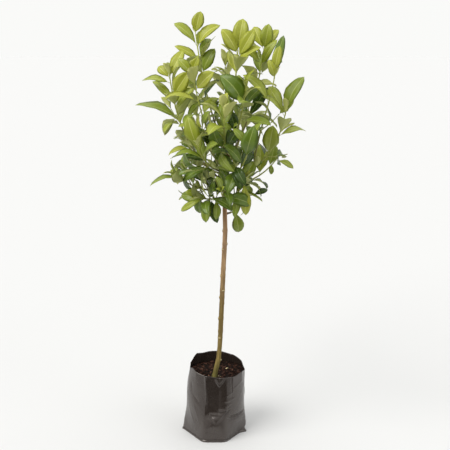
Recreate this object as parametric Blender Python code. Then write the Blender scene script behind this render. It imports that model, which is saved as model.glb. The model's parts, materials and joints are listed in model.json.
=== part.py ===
"""A potted standard viburnum: an evergreen shrub grown as a small tree in a black film planter bag.

The bag stands on the floor at the origin, +X is to the viewer's right, +Y runs away from the viewer
and +Z is up. A limb is one smooth curve from its fork to its shoot tip. Its lower, bare stretch is the
bough, and its upper, leafy stretch is the stem of a mass of foliage, which starts a hair's breadth
clear of the bough's end. Lengths are in metres.
"""

import math
import random
from collections import namedtuple

import bmesh
import bpy
from mathutils import Matrix, Vector
from mathutils.bvhtree import BVHTree

# Clearance that touching pieces keep from each other
GAP = 0.0003

# Planter bag
BAG_HEIGHT = 0.280
BAG_RIM_RADIUS = 0.115
BAG_RIM_CENTRE = Vector((0.012, 0.0))
BAG_WAIST_RADIUS = 0.119
BAG_WALL = 0.0016
BAG_SIDES = 36
BAG_RINGS = 6
# The gusseted bottom folds flat into six straight sides: direction of each in degrees, and its distance
BASE_SIDES = ((34, 0.112), (90, 0.124), (146, 0.112), (214, 0.112), (270, 0.131), (326, 0.112))
BASE_CORNER_SHARPNESS = 22
BASE_BLENDS_OUT_AT = 0.55
# The rim was turned down by hand, so it stands higher at the back and lower at the right
RIM_LIFT_AT_BACK = 0.0125
RIM_DROP_AT_RIGHT = 0.0070
RIM_SAG_AT_SIDES = 0.0088

# Potting mix
SOIL_TOP = 0.258
SOIL_MOUND = 0.006
SOIL_EDGE_GAP = 0.0009

# Trunk: places that its centreline passes, from the mix up to the leader's end, with its diameter there
TRUNK_PATH = (
    ((0.001, -0.080, SOIL_TOP + SOIL_MOUND + GAP), 0.0230),
    ((0.004, -0.079, 0.280), 0.0195),
    ((0.019, -0.070, 0.345), 0.0190),
    ((0.028, -0.045, 0.500), 0.0182),
    ((0.037, -0.020, 0.690), 0.0165),
    ((0.045, -0.004, 0.860), 0.0145),
    ((0.042, 0.000, 0.985), 0.0132),
    ((0.048, 0.002, 1.050), 0.0115),
    ((0.056, -0.002, 1.185), 0.0075),
)
TRUNK_SIDES_LEVEL = 3
TRUNK_STEPS = 14
FLARE_CROWDING = 1.3

# Limbs
BOUGH_DIAMETER = 0.0078
# A bough is at most this share of its parent's diameter at the fork
THICKEST_FORK = 0.8
STEM_DIAMETER = 0.0054
STEM_TIP_DIAMETER = 0.0036
TWIG_DIAMETER = 0.0036
TWIG_TIP_DIAMETER = 0.0026
BOUGH_SIDES_LEVEL = 1
TWIG_SIDES_LEVEL = 0
BOUGH_STEPS = 4
STEM_STEPS = 4
TWIG_STEPS = 2
LIMB_STEPS = 24
# Each limb's ends are cut square over this length
SQUARE_END = 0.002
# A limb has done this share of its rise, and all but this share of its lean, when it turns up
LATE_RISE = 0.6
LATE_LEAN = 0.4

# Leaves
LEAF_WIDTH = 0.44
LEAF_THICKNESS = 0.016
PETIOLE_WIDTH = 0.0020
PETIOLE_THICKNESS = 0.0017
PETIOLE_SHARE = 0.11
# Where the blade is tested for room without its petiole, it starts a little further up
TESTED_BLADE_SHARE = 0.121
# Outline of the blade: share along the leaf, and half width there as a share of the full width
BLADE_STATIONS = ((0.50, 0.50), (0.80, 0.36))
LEAF_CUP = 0.22
REACH_LEAF_ARCH = 0.07
# How much the upper side of a leaf looks to the sky, against along its stem
REACH_LEAF_UPWARDNESS = 0.8
RULE_LEAF_UPWARDNESS = 0.4
# Slant from the stem in degrees, and rise of the arch as a share of the length, in youth and age
YOUNG_SLANT, OLD_SLANT = 24, 72
YOUNG_ARCH, OLD_ARCH = 0.03, 0.11
DROOP = 0.35
# Chance spreads, in radians either way, and then as factors
TURN_SPREAD = 0.30
SLANT_SPREAD = 0.20
ROLL_SPREAD = 0.45
DROOP_FACTORS = (0.4, 1.2)
LENGTH_FACTORS = (0.86, 1.12)
WIDTH_FACTORS = (0.90, 1.15)
ARCH_FACTORS = (0.6, 1.3)
YOUNGEST_LENGTH = 0.62
GROWN_AT_AGE = 0.35
# Pairs of leaves: shares of the stem at the first and last pair, and how they crowd towards the tip
FIRST_PAIR, LAST_PAIR = 0.07, 0.985
PAIR_CROWDING = 0.85
# Side twigs
FIRST_TWIG, TWIG_SPACING = 0.10, 0.26
TWIG_SLANT = (40, 65)
TWIG_LENGTH = (0.060, 0.095)
TWIG_UPTURN = 0.25
TWIG_BARE = 0.35
TWIG_PAIRS = 2
TWIG_LEAF_SHARE = 0.78
# Clearance that leaves and twigs of unlike masses keep, and how often a place for one is tried
CLEARANCE = 0.0012
TRIES = 7
UP = Vector((0.0, 0.0, 1.0))
AWAY = Vector((0.0, 1.0, 0.0))
# A heading with more rise than this counts as upright
NEARLY_UPRIGHT = 0.95
# The rule keeps to the crown's real outline by this egg-shaped room: its middle and half sizes, and how
# many times faster it narrows below its middle than above it
CROWN_MIDDLE = Vector((0.035, 0.0, 1.265))
CROWN_HALF_SIZES = Vector((0.300, 0.290, 0.430))
LOWER_NARROWING = 1.12
SEED = 7

# A shoot: where it forks off (parent limb and share along it), its tip, how far out and up it leans
# before it turns up, the share of it that is bare bough, its pairs of leaves and their length, the turn
# of its first pair in degrees, its side twigs, its tone, and the leaves that set the crown's outline: each
# with its share along the stem, its tip, its width factor and its roll towards the front in degrees
Shoot = namedtuple("Shoot", "name parent fork tip lean bare pairs length turn twigs tone reach")

SHOOTS = (
    Shoot("far_left", "trunk", 0.845, (-0.168, 0.000, 1.457), (0.72, 0.30), 0.58, 4, 0.127, 165,
          1, "young",
          ((0.20, (-0.297, -0.020, 1.360), 0.9, 35),
           (0.88, (-0.274, 0.000, 1.450), 1.0, 40),
           (1.00, (-0.116, 0.020, 1.557), 1.0, 60),
           (0.64, (-0.094, -0.050, 1.478), 1.2, 80),
           (0.35, (-0.081, -0.060, 1.419), 0.9, 60),
           (0.97, (-0.214, 0.025, 1.496), 1.2, 80),
           (0.52, (-0.237, 0.045, 1.446), 0.6, 60))),
    Shoot("mid_left", "trunk", 0.930, (-0.076, -0.110, 1.480), (0.55, 0.25), 0.34, 5, 0.124, 20,
          1, "young",
          ((0.97, (-0.127, -0.120, 1.530), 1.1, 75),
           (0.75, (-0.004, -0.140, 1.482), 1.3, 75),
           (1.00, (-0.055, -0.125, 1.534), 1.3, 85))),
    Shoot("left_leader", "trunk", 0.970, (-0.070, 0.080, 1.618), (0.50, 0.28), 0.36, 6, 0.130, 60,
          1, "young",
          ((1.00, (-0.050, 0.080, 1.703), 1.3, 85),
           (0.84, (0.017, 0.070, 1.658), 1.0, 60),
           (0.84, (-0.153, 0.085, 1.659), 0.9, 50),
           (0.70, (-0.015, 0.120, 1.603), 0.9, 70),
           (0.50, (0.004, 0.050, 1.563), 1.1, 70),
           (0.66, (-0.150, 0.060, 1.574), 0.8, 60))),
    Shoot("top_centre", "trunk", 1.000, (0.093, -0.020, 1.560), (0.30, 0.30), 0.25, 6, 0.127, 0,
          1, "young",
          ((1.00, (0.112, -0.020, 1.674), 1.2, 85),
           (0.93, (0.033, -0.020, 1.637), 1.2, 70),
           (0.85, (0.171, -0.060, 1.574), 1.1, 60),
           (0.90, (0.148, -0.055, 1.632), 1.0, 75))),
    Shoot("top_right", "trunk", 0.950, (0.196, 0.085, 1.557), (0.55, 0.25), 0.36, 6, 0.130, 30,
          1, "young",
          ((1.00, (0.157, 0.110, 1.646), 1.1, 80),
           (1.00, (0.213, 0.060, 1.654), 1.2, 85),
           (0.98, (0.253, 0.105, 1.635), 0.9, 60),
           (0.80, (0.105, 0.030, 1.573), 1.1, 60),
           (0.78, (0.236, 0.030, 1.595), 0.7, 65),
           (0.06, (0.206, 0.020, 1.414), 0.65, 80))),
    Shoot("right_upper", "right_outer", 0.330, (0.228, -0.100, 1.462), (0.20, 0.42), 0.35, 3, 0.130, 40,
          1, "middle",
          ((1.00, (0.246, -0.100, 1.575), 0.75, 85),
           (0.93, (0.264, -0.055, 1.616), 0.5, 80),
           (0.98, (0.206, -0.125, 1.524), 1.0, 80))),
    Shoot("right_outer", "trunk", 0.852, (0.277, -0.020, 1.322), (0.74, 0.24), 0.45, 3, 0.127, 70,
          1, "middle",
          ((0.98, (0.343, -0.020, 1.460), 0.9, 35),
           (0.93, (0.195, -0.060, 1.393), 1.0, 40),
           (0.55, (0.360, 0.020, 1.257), 0.9, 30),
           (0.99, (0.213, 0.035, 1.425), 0.9, 80),
           (0.15, (0.226, -0.080, 1.278), 1.1, 88))),
    Shoot("right_lower", "trunk", 0.828, (0.255, 0.120, 1.125), (0.60, 0.10), 0.40, 1, 0.105, 10,
          0, "old",
          ((0.95, (0.323, 0.120, 1.085), 1.0, 60),
           (0.80, (0.230, 0.090, 1.066), 1.2, 80),
           (0.35, (0.184, 0.080, 1.181), 1.2, 85),
           (0.70, (0.245, 0.100, 1.183), 1.2, 85))),
    Shoot("front_right", "trunk", 0.875, (0.135, -0.215, 1.230), (0.65, 0.20), 0.40, 5, 0.127, 50,
          1, "old",
          ((0.62, (0.147, -0.262, 1.285), 1.0, 90),)),
    Shoot("lower_right", "trunk", 0.790, (0.117, -0.085, 1.065), (0.60, 0.05), 0.38, 4, 0.115, 30,
          1, "old",
          ((0.97, (0.125, -0.100, 0.936), 0.8, 85),
           (0.25, (0.106, -0.060, 0.973), 0.8, 80),
           (0.50, (0.081, -0.095, 0.927), 0.7, 75),
           (0.80, (0.154, -0.070, 1.024), 1.0, 75))),
    Shoot("lower_left", "trunk", 0.785, (-0.050, -0.075, 1.000), (0.60, -0.05), 0.38, 4, 0.113, 60,
          1, "old",
          ((0.80, (-0.132, -0.050, 0.945), 0.6, 60),
           (0.50, (-0.030, -0.085, 0.905), 1.0, 75),
           (0.30, (0.012, -0.080, 0.903), 0.9, 75))),
    Shoot("left_low", "trunk", 0.815, (-0.135, -0.030, 1.075), (0.60, 0.00), 0.38, 4, 0.118, 0, 1, "old",
          ((0.85, (-0.246, -0.060, 1.060), 0.8, 20),)),
    Shoot("left_mid", "trunk", 0.880, (-0.105, 0.110, 1.190), (0.62, 0.15), 0.38, 4, 0.119, 45, 1, "old",
          ((0.60, (-0.175, 0.060, 1.136), 0.9, 30),
           (0.80, (-0.188, 0.110, 1.150), 0.9, 50))),
    Shoot("front_left", "trunk", 0.897, (-0.055, -0.205, 1.215), (0.65, 0.20), 0.38, 5, 0.122, 20,
          1, "middle",
          ((1.00, (-0.090, -0.225, 1.325), 1.1, 85),)),
    Shoot("front_centre", "trunk", 0.915, (0.040, -0.185, 1.345), (0.60, 0.25), 0.36, 5, 0.127, 75,
          1, "middle",
          ()),
    Shoot("front_low", "trunk", 0.805, (0.030, -0.200, 1.050), (0.65, 0.00), 0.38, 4, 0.115, 15, 1, "old",
          ()),
    Shoot("centre", "trunk", 0.985, (0.120, -0.110, 1.420), (0.55, 0.25), 0.30, 5, 0.127, 35, 1, "middle",
          ((0.70, (0.032, -0.120, 1.470), 1.3, 75),)),
    Shoot("back_left", "trunk", 0.900, (-0.090, 0.215, 1.370), (0.62, 0.22), 0.38, 5, 0.124, 65,
          1, "middle",
          ()),
    Shoot("back_right", "trunk", 0.920, (0.135, 0.230, 1.350), (0.62, 0.22), 0.38, 5, 0.124, 25,
          1, "middle",
          ()),
    Shoot("back_top", "trunk", 0.943, (0.045, 0.145, 1.490), (0.55, 0.25), 0.34, 5, 0.124, 55, 1, "young",
          ()),
    Shoot("back_low", "trunk", 0.820, (0.050, 0.205, 1.090), (0.65, 0.05), 0.38, 5, 0.118, 5, 1, "old",
          ()),
    Shoot("low_spur", "trunk", 0.715, (0.086, 0.040, 0.925), (0.60, 0.10), 0.45, 1, 0.085, 30, 0, "old",
          ((0.95, (0.100, 0.052, 0.832), 1.2, 85),)),
)

# Colours, as red, green and blue, with roughness
BAG_FINISH = ((0.032, 0.029, 0.028), 0.34)
SOIL_FINISH = ((0.045, 0.024, 0.016), 0.95)
TRUNK_FINISH = ((0.270, 0.180, 0.085), 0.75)
BOUGH_FINISH = ((0.230, 0.220, 0.070), 0.60)
YOUNG_LEAF_FINISH = ((0.330, 0.420, 0.050), 0.38)
MIDDLE_LEAF_FINISH = ((0.170, 0.290, 0.045), 0.36)
OLD_LEAF_FINISH = ((0.060, 0.140, 0.025), 0.34)


class Axis:
    """A limb's centreline: close points, and a rule for its diameter by the share of its length."""

    def __init__(self, points, diameter):
        self.points = points
        self.diameter = diameter
        steps = [(b - a).length for a, b in zip(points, points[1:])]
        self.length = sum(steps)
        self.shares = [sum(steps[:i]) / self.length for i in range(len(points))]

    def span(self, share):
        """The piece of the centreline that holds this share, and how far along that piece it lies."""
        index = 0
        while index < len(self.shares) - 2 and share > self.shares[index + 1]:
            index += 1
        start, end = self.shares[index], self.shares[index + 1]
        return index, min(max((share - start) / (end - start), 0.0), 1.0)

    def place(self, share):
        index, along = self.span(share)
        return self.points[index].lerp(self.points[index + 1], along)

    def heading(self, share):
        index, _ = self.span(share)
        return (self.points[index + 1] - self.points[index]).normalized()


def tapered(share, first, last, start=0.0, end=1.0):
    """A value that runs evenly from first to last between two shares."""
    along = min(max((share - start) / (end - start), 0.0), 1.0)
    return first + (last - first) * along


def clear_scene():
    for item in list(bpy.data.objects):
        bpy.data.objects.remove(item, do_unlink=True)


def new_collection(name):
    collection = bpy.data.collections.new(name)
    bpy.context.scene.collection.children.link(collection)
    return collection


def new_material(name, finish):
    colour, roughness = finish
    material = bpy.data.materials.new(name)
    material.use_nodes = True
    shader = material.node_tree.nodes["Principled BSDF"]
    shader.inputs["Base Color"].default_value = (*colour, 1.0)
    shader.inputs["Roughness"].default_value = roughness
    shader.inputs["Metallic"].default_value = 0.0
    return material


def new_object(name, mesh, collection, material=None):
    item = bpy.data.objects.new(name, mesh)
    collection.objects.link(item)
    if material:
        mesh.materials.append(material)
    return item


def evaluated_mesh(item):
    bpy.context.view_layer.update()
    graph = bpy.context.evaluated_depsgraph_get()
    return bpy.data.meshes.new_from_object(item.evaluated_get(graph))


def tube_mesh(points, diameters, sides_level):
    """A tapering round limb through these points, as one closed mesh."""
    curve = bpy.data.curves.new("tube", "CURVE")
    curve.dimensions = "3D"
    curve.bevel_depth = 1.0
    curve.bevel_resolution = sides_level
    curve.use_fill_caps = True
    spline = curve.splines.new("POLY")
    spline.points.add(len(points) - 1)
    for point, place, diameter in zip(spline.points, points, diameters):
        point.co = (*place, 1.0)
        point.radius = diameter / 2
    item = bpy.data.objects.new("tube", curve)
    bpy.context.scene.collection.objects.link(item)
    mesh = evaluated_mesh(item)
    bpy.data.objects.remove(item)
    bpy.data.curves.remove(curve)
    shape = bmesh.new()
    shape.from_mesh(mesh)
    bmesh.ops.remove_doubles(shape, verts=shape.verts, dist=1e-6)
    shape.to_mesh(mesh)
    shape.free()
    return mesh


def tree_of(mesh):
    vertices = [vertex.co for vertex in mesh.vertices]
    faces = [tuple(face.vertices) for face in mesh.polygons]
    return BVHTree.FromPolygons(vertices, faces)


def boolean(item, operation, solver, operand=None, collection=None):
    """Joins to, or cuts from, an object what its operand or the operand collection holds."""
    modifier = item.modifiers.new(operation.title(), "BOOLEAN")
    modifier.operation = operation
    modifier.solver = solver
    if collection:
        modifier.operand_type = "COLLECTION"
        modifier.collection = collection
    else:
        modifier.object = operand
    mesh = evaluated_mesh(item)
    item.modifiers.clear()
    item.data = mesh


def islands(shape):
    """The faces of a mesh in groups that hang together."""
    left = set(shape.faces)
    groups = []
    while left:
        waiting = [left.pop()]
        group = list(waiting)
        while waiting:
            face = waiting.pop()
            near = {other for edge in face.edges for other in edge.link_faces if other in left}
            left -= near
            waiting += near
            group += near
        groups.append(group)
    return groups


def signed_volume(faces):
    """The volume that these faces close in, which is negative for the wall of a sealed hollow."""
    total = 0.0
    for face in faces:
        first, *others = [vertex.co for vertex in face.verts]
        for a, b in zip(others, others[1:]):
            total += first.dot(a.cross(b)) / 6
    return total


def keep_largest_body(item):
    """Fills hollows that the union sealed, and drops scraps that it left loose."""
    shape = bmesh.new()
    shape.from_mesh(item.data)
    groups = sorted(islands(shape), key=signed_volume)
    spare = [face for group in groups[:-1] for face in group]
    bmesh.ops.delete(shape, geom=spare, context="FACES")
    shape.to_mesh(item.data)
    shape.free()


# The bag is a loft from a six-sided foot to a round rim


def base_radius(angle):
    """Distance from the middle to the bottom's rounded six-sided outline, in this direction."""
    reach = 0.0
    for side_angle, distance in BASE_SIDES:
        facing = math.cos(angle - math.radians(side_angle))
        reach += (max(facing, 0.0) / distance) ** BASE_CORNER_SHARPNESS
    return reach ** (-1 / BASE_CORNER_SHARPNESS)


def rim_height(angle):
    lift = RIM_LIFT_AT_BACK * math.sin(angle) - RIM_DROP_AT_RIGHT * math.cos(angle)
    return BAG_HEIGHT + lift - RIM_SAG_AT_SIDES * math.cos(2 * angle)


def bag_place(angle, share, inset=0.0):
    """A point of the bag's side at a share of its height, moved in from the outer face by the inset."""
    foot = min(share / BASE_BLENDS_OUT_AT, 1.0)
    foot_weight = 1 - foot * foot * (3 - 2 * foot)
    round_radius = BAG_WAIST_RADIUS + (BAG_RIM_RADIUS - BAG_WAIST_RADIUS) * share
    radius = round_radius + (base_radius(angle) - round_radius) * foot_weight - inset
    centre = BAG_RIM_CENTRE * share
    height = rim_height(angle) * share
    return Vector((centre.x + radius * math.cos(angle), centre.y + radius * math.sin(angle), height))


def bag_angles():
    return [2 * math.pi * side / BAG_SIDES for side in range(BAG_SIDES)]


def add_ring(shape, places):
    return [shape.verts.new(place) for place in places]


def bridge(shape, lower, upper, facing_in=False):
    """Triangles between two rings of as many points, always along the same diagonals."""
    for index in range(len(lower)):
        after = (index + 1) % len(lower)
        for corners_of_face in (
            (lower[index], lower[after], upper[after]),
            (lower[index], upper[after], upper[index]),
        ):
            shape.faces.new(reversed(corners_of_face) if facing_in else corners_of_face)


def fan(shape, ring, middle, facing_down=False):
    centre = shape.verts.new(middle)
    for index in range(len(ring)):
        pair = (ring[index], ring[(index + 1) % len(ring)])
        shape.faces.new((*reversed(pair), centre) if facing_down else (*pair, centre))


def finished_mesh(shape, name):
    mesh = bpy.data.meshes.new(name)
    shape.normal_update()
    shape.to_mesh(mesh)
    shape.free()
    return mesh


def inner_shares():
    """Shares of the height at the rings of the bag's inner wall, from its floor up to the rim."""
    floor_share = BAG_WALL / BAG_HEIGHT
    return [floor_share + (1 - floor_share) * ring / (BAG_RINGS - 1) for ring in range(BAG_RINGS)]


def make_bag(collection):
    shape = bmesh.new()
    angles = bag_angles()
    shares = [ring / (BAG_RINGS - 1) for ring in range(BAG_RINGS)]
    outer = [add_ring(shape, [bag_place(a, share) for a in angles]) for share in shares]
    for lower, upper in zip(outer, outer[1:]):
        bridge(shape, lower, upper)
    inner = []
    for share in inner_shares():
        inner.append(add_ring(shape, [bag_place(angle, share, BAG_WALL) for angle in angles]))
    for vertex in inner[0]:
        vertex.co.z = BAG_WALL
    for lower, upper in zip(inner, inner[1:]):
        bridge(shape, lower, upper, facing_in=True)
    bridge(shape, outer[-1], inner[-1])
    fan(shape, outer[0], (0, 0, 0), facing_down=True)
    fan(shape, inner[0], (0, 0, BAG_WALL))
    mesh = finished_mesh(shape, "planter_bag")
    return new_object("planter_bag", mesh, collection, new_material("black_film", BAG_FINISH))


def make_soil(collection):
    """The mix fills the bag to a little below its rim, and rises to a low flat at the trunk's foot."""
    shape = bmesh.new()
    angles = bag_angles()
    inset = BAG_WALL + SOIL_EDGE_GAP
    shares = inner_shares()[:-1]
    rings = [add_ring(shape, [bag_place(angle, share, inset) for angle in angles]) for share in shares]
    for vertex in rings[0]:
        vertex.co.z = BAG_WALL + GAP
    edge = [bag_place(angle, SOIL_TOP / rim_height(angle), inset) for angle in angles]
    rings.append(add_ring(shape, edge))
    for lower, upper in zip(rings, rings[1:]):
        bridge(shape, lower, upper)
    fan(shape, rings[0], (0, 0, BAG_WALL + GAP), facing_down=True)
    foot, diameter = TRUNK_PATH[0]
    top = SOIL_TOP + SOIL_MOUND
    middle = Vector((foot[0], foot[1], top))
    flat = add_ring(
        shape, [middle + Vector((math.cos(a), math.sin(a), 0)) * diameter for a in angles]
    )
    bridge(shape, rings[-1], flat)
    fan(shape, flat, middle)
    mesh = finished_mesh(shape, "potting_mix")
    return new_object("potting_mix", mesh, collection, new_material("bark_mix", SOIL_FINISH))


# The trunk and the limbs


def trunk_axis():
    """A smooth curve through the trunk's named places."""
    places = [Vector(place) for place, _ in TRUNK_PATH]
    knots = [0.0]
    for a, b in zip(places, places[1:]):
        knots.append(knots[-1] + (b - a).length)
    slopes = []
    for index in range(len(places)):
        before, after = max(index - 1, 0), min(index + 1, len(places) - 1)
        slopes.append((places[after] - places[before]) / (knots[after] - knots[before]))

    def piece(reach):
        index = max(i for i in range(len(knots) - 1) if knots[i] <= reach)
        gap = knots[index + 1] - knots[index]
        return index, gap, (reach - knots[index]) / gap

    def smooth_place(reach):
        index, gap, t = piece(reach)
        return (
            places[index] * (2 * t**3 - 3 * t**2 + 1)
            + slopes[index] * gap * (t**3 - 2 * t**2 + t)
            + places[index + 1] * (3 * t**2 - 2 * t**3)
            + slopes[index + 1] * gap * (t**3 - t**2)
        )

    def diameter(share):
        index, _, t = piece(knots[-1] * min(max(share, 0.0), 1.0))
        return tapered(t, TRUNK_PATH[index][1], TRUNK_PATH[index + 1][1])

    # The first steps are short, where the root flare narrows
    shares = [(step / TRUNK_STEPS) ** FLARE_CROWDING for step in range(TRUNK_STEPS + 1)]
    return Axis([smooth_place(knots[-1] * share) for share in shares], diameter)


def limb_axis(shoot, parent):
    """The whole limb, from its parent's centreline to its shoot tip: out first, and then up."""
    start = parent.place(shoot.fork)
    tip = Vector(shoot.tip)
    out, up = shoot.lean
    across = Vector((tip.x - start.x, tip.y - start.y, 0.0))
    rise = Vector((0.0, 0.0, tip.z - start.z))
    near_start = start + across * out + rise * up
    near_tip = start + across * (1 - LATE_LEAN * (1 - out)) + rise * LATE_RISE
    points = []
    for step in range(LIMB_STEPS + 1):
        t = step / LIMB_STEPS
        s = 1 - t
        points.append(start * s**3 + near_start * 3 * s * s * t + near_tip * 3 * s * t * t + tip * t**3)

    thickest = min(BOUGH_DIAMETER, THICKEST_FORK * parent.diameter(shoot.fork))

    def diameter(share):
        if share < shoot.bare:
            return tapered(share, thickest, STEM_DIAMETER, 0.0, shoot.bare)
        return tapered(share, STEM_DIAMETER, STEM_TIP_DIAMETER, shoot.bare, 1.0)

    return Axis(points, diameter)


def twig_axis(root, way, length):
    """A side twig, which leaves its stem slanting and turns up a little."""
    middle = root + way * length * 0.5
    end = root + way * length + Vector((0.0, 0.0, TWIG_UPTURN * length))
    points = []
    for step in range(TWIG_STEPS + 1):
        t = step / TWIG_STEPS
        points.append(root * (1 - t) ** 2 + middle * 2 * t * (1 - t) + end * t * t)
    return Axis(points, lambda share: tapered(share, TWIG_DIAMETER, TWIG_TIP_DIAMETER))


def stretch(axis, first, last, steps, square_start=False, square_end=False, grow=0.0):
    """Points and diameters of one stretch of a limb. An end that meets another piece is cut square."""
    shares = [first + (last - first) * step / steps for step in range(steps + 1)]
    points = [axis.place(share) for share in shares]
    if square_start:
        points.insert(1, points[0] + axis.heading(first) * SQUARE_END)
        shares.insert(0, first)
    if square_end:
        points.insert(-1, points[-1] - axis.heading(last) * SQUARE_END)
        shares.append(last)
    return points, [axis.diameter(share) + 2 * grow for share in shares]


# Leaves


def leaf_shape(root, way, face, length, width, arch, cup, grow=0.0, blade_only=False):
    """Points and faces of one leaf: a three-sided petiole, and a folded blade that arches to its face."""
    side = way.cross(face)

    def ring(share, half_width, half_thickness, lift):
        middle = root + way * (length * share) + face * (4 * arch * length * share * (1 - share))
        return [
            middle - side * (half_width + grow) + face * lift,
            middle - face * (half_thickness + grow),
            middle + side * (half_width + grow) + face * lift,
            middle + face * (half_thickness + grow),
        ]

    petiole = (PETIOLE_WIDTH / 2, PETIOLE_THICKNESS / 2, PETIOLE_THICKNESS / 2)
    foot_share, neck_share = (PETIOLE_SHARE, TESTED_BLADE_SHARE) if blade_only else (0.0, PETIOLE_SHARE)
    points = ring(foot_share, *petiole)[:3] + ring(neck_share, *petiole)[:3]
    for share, half in BLADE_STATIONS:
        points += ring(share, half * width, LEAF_THICKNESS * length / 2, cup * half * width)
    points.append(root + way * (length + grow))
    # Points 0 to 2 are the petiole's foot and 3 to 5 its neck, and then come the two rings and the tip
    faces = [(0, 2, 1), (0, 1, 4, 3), (1, 2, 5, 4), (2, 0, 3, 5)]
    faces += [(3, 4, 7), (3, 7, 6), (4, 5, 8), (4, 8, 7), (5, 3, 9), (5, 9, 8), (3, 6, 9)]
    middle_ring, last_ring, tip = 6, 10, 14
    for corner in range(4):
        after = (corner + 1) % 4
        a, b, c, d = middle_ring + corner, middle_ring + after, last_ring + after, last_ring + corner
        faces += [(a, b, c), (a, c, d), (d, c, tip)]
    return points, faces


Leaf = namedtuple("Leaf", "root way face length width arch cup")


def square_to(way, towards):
    """The part of a direction that is square to a leaf."""
    return towards - way * towards.dot(way)


def facing(way, towards, roll):
    """Where the upper side of a leaf faces: square to the leaf, near this direction, and then rolled."""
    face = square_to(way, towards).normalized()
    side = way.cross(face)
    if side.y > 0:
        side = -side
    return face * math.cos(roll) + side * math.sin(roll)


class Crown:
    """What has been placed so far, so that a leaf or twig that would touch it can be left out."""

    def __init__(self):
        self.limbs = []
        self.leaves = []

    def add_limb(self, owner, axis, first, last, steps, level):
        points, diameters = stretch(axis, first, last, steps, grow=CLEARANCE)
        mesh = tube_mesh(points, diameters, level)
        self.limbs.append((owner, tree_of(mesh), *corners(points)))
        bpy.data.meshes.remove(mesh)

    def add_leaf(self, owner, leaf):
        points, triangles = leaf_shape(*leaf)
        whole = BVHTree.FromPolygons(points, triangles)
        blade = BVHTree.FromPolygons(*leaf_shape(*leaf, blade_only=True))
        self.leaves.append((owner, whole, blade, *corners(points)))

    def has_room(self, owner, leaf):
        points, triangles = leaf_shape(*leaf, grow=CLEARANCE)
        low, high = corners(points)
        whole = BVHTree.FromPolygons(points, triangles)
        blade = BVHTree.FromPolygons(*leaf_shape(*leaf, blade_only=True))
        for other, tree, other_low, other_high in self.limbs:
            if apart(low, high, other_low, other_high):
                continue
            if (blade if other == owner else whole).overlap(tree):
                return False
        for other, other_whole, other_blade, other_low, other_high in self.leaves:
            if apart(low, high, other_low, other_high):
                continue
            if other == owner and blade.overlap(other_blade):
                return False
            if other != owner and whole.overlap(other_whole):
                return False
        return True

    def twig_has_room(self, owner, axis):
        points, diameters = stretch(axis, 0.0, 1.0, TWIG_STEPS, grow=CLEARANCE)
        mesh = tube_mesh(points, diameters, TWIG_SIDES_LEVEL)
        whole = tree_of(mesh)
        bpy.data.meshes.remove(mesh)
        low, high = corners(points)
        for other, tree, *others_corners in (*self.limbs, *(item[:2] + item[3:] for item in self.leaves)):
            if other != owner and not apart(low, high, *others_corners) and whole.overlap(tree):
                return False
        own_blades = [item[2] for item in self.leaves if item[0] == owner]
        return not any(whole.overlap(blade) for blade in own_blades)


def corners(points):
    low = Vector((min(p.x for p in points), min(p.y for p in points), min(p.z for p in points)))
    high = Vector((max(p.x for p in points), max(p.y for p in points), max(p.z for p in points)))
    return low, high


def apart(low, high, other_low, other_high):
    """Whether two boxes lie clear of each other by more than the thickest limb."""
    room = BOUGH_DIAMETER
    return any(
        low[axis] > other_high[axis] + room or other_low[axis] > high[axis] + room for axis in range(3)
    )


def inside_crown(place):
    offset = place - CROWN_MIDDLE
    if offset.z < 0:
        offset *= LOWER_NARROWING
    return sum((offset[axis] / CROWN_HALF_SIZES[axis]) ** 2 for axis in range(3)) < 1


def reach_leaf(axis, first, entry):
    """A leaf that runs from its share of the stem to a given tip."""
    share, tip, width_factor, roll = entry
    along = first + (1 - first) * share
    root = axis.place(along)
    way = Vector(tip) - root
    length = way.length
    way.normalize()
    skyward = square_to(way, axis.heading(along) + UP * REACH_LEAF_UPWARDNESS)
    turn = math.radians(roll)
    face = (skyward * math.cos(turn) - square_to(way, AWAY) * math.sin(turn)).normalized()
    return Leaf(root, way, face, length, length * LEAF_WIDTH * width_factor, REACH_LEAF_ARCH, LEAF_CUP)


def outward_from(heading, turn):
    """The direction square to a stem's heading, at this turn about it."""
    across = heading.cross(UP if abs(heading.z) < NEARLY_UPRIGHT else AWAY).normalized()
    return Matrix.Rotation(turn, 3, heading) @ across


def rule_leaf(axis, share, turn, age, length, chance):
    """A leaf of the rule: upright near the shoot's tip, and spreading and drooping further down."""
    heading = axis.heading(share)
    outward = outward_from(heading, turn + chance.uniform(-1, 1) * TURN_SPREAD)
    slant = math.radians(tapered(age, YOUNG_SLANT, OLD_SLANT)) + chance.uniform(-1, 1) * SLANT_SPREAD
    way = heading * math.cos(slant) + outward * math.sin(slant)
    way.z -= DROOP * age * chance.uniform(*DROOP_FACTORS)
    way.normalize()
    face = facing(way, heading + UP * RULE_LEAF_UPWARDNESS, chance.uniform(-1, 1) * ROLL_SPREAD)
    length *= chance.uniform(*LENGTH_FACTORS)
    width = length * LEAF_WIDTH * chance.uniform(*WIDTH_FACTORS)
    arch = tapered(age, YOUNG_ARCH, OLD_ARCH) * chance.uniform(*ARCH_FACTORS)
    return Leaf(axis.place(share), way, face, length, width, arch, LEAF_CUP)


def length_at(age):
    """Leaf length by age, as a share of the shoot's leaf length: the youngest are still growing."""
    return YOUNGEST_LENGTH + (1 - YOUNGEST_LENGTH) * min(age / GROWN_AT_AGE, 1.0)


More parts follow.
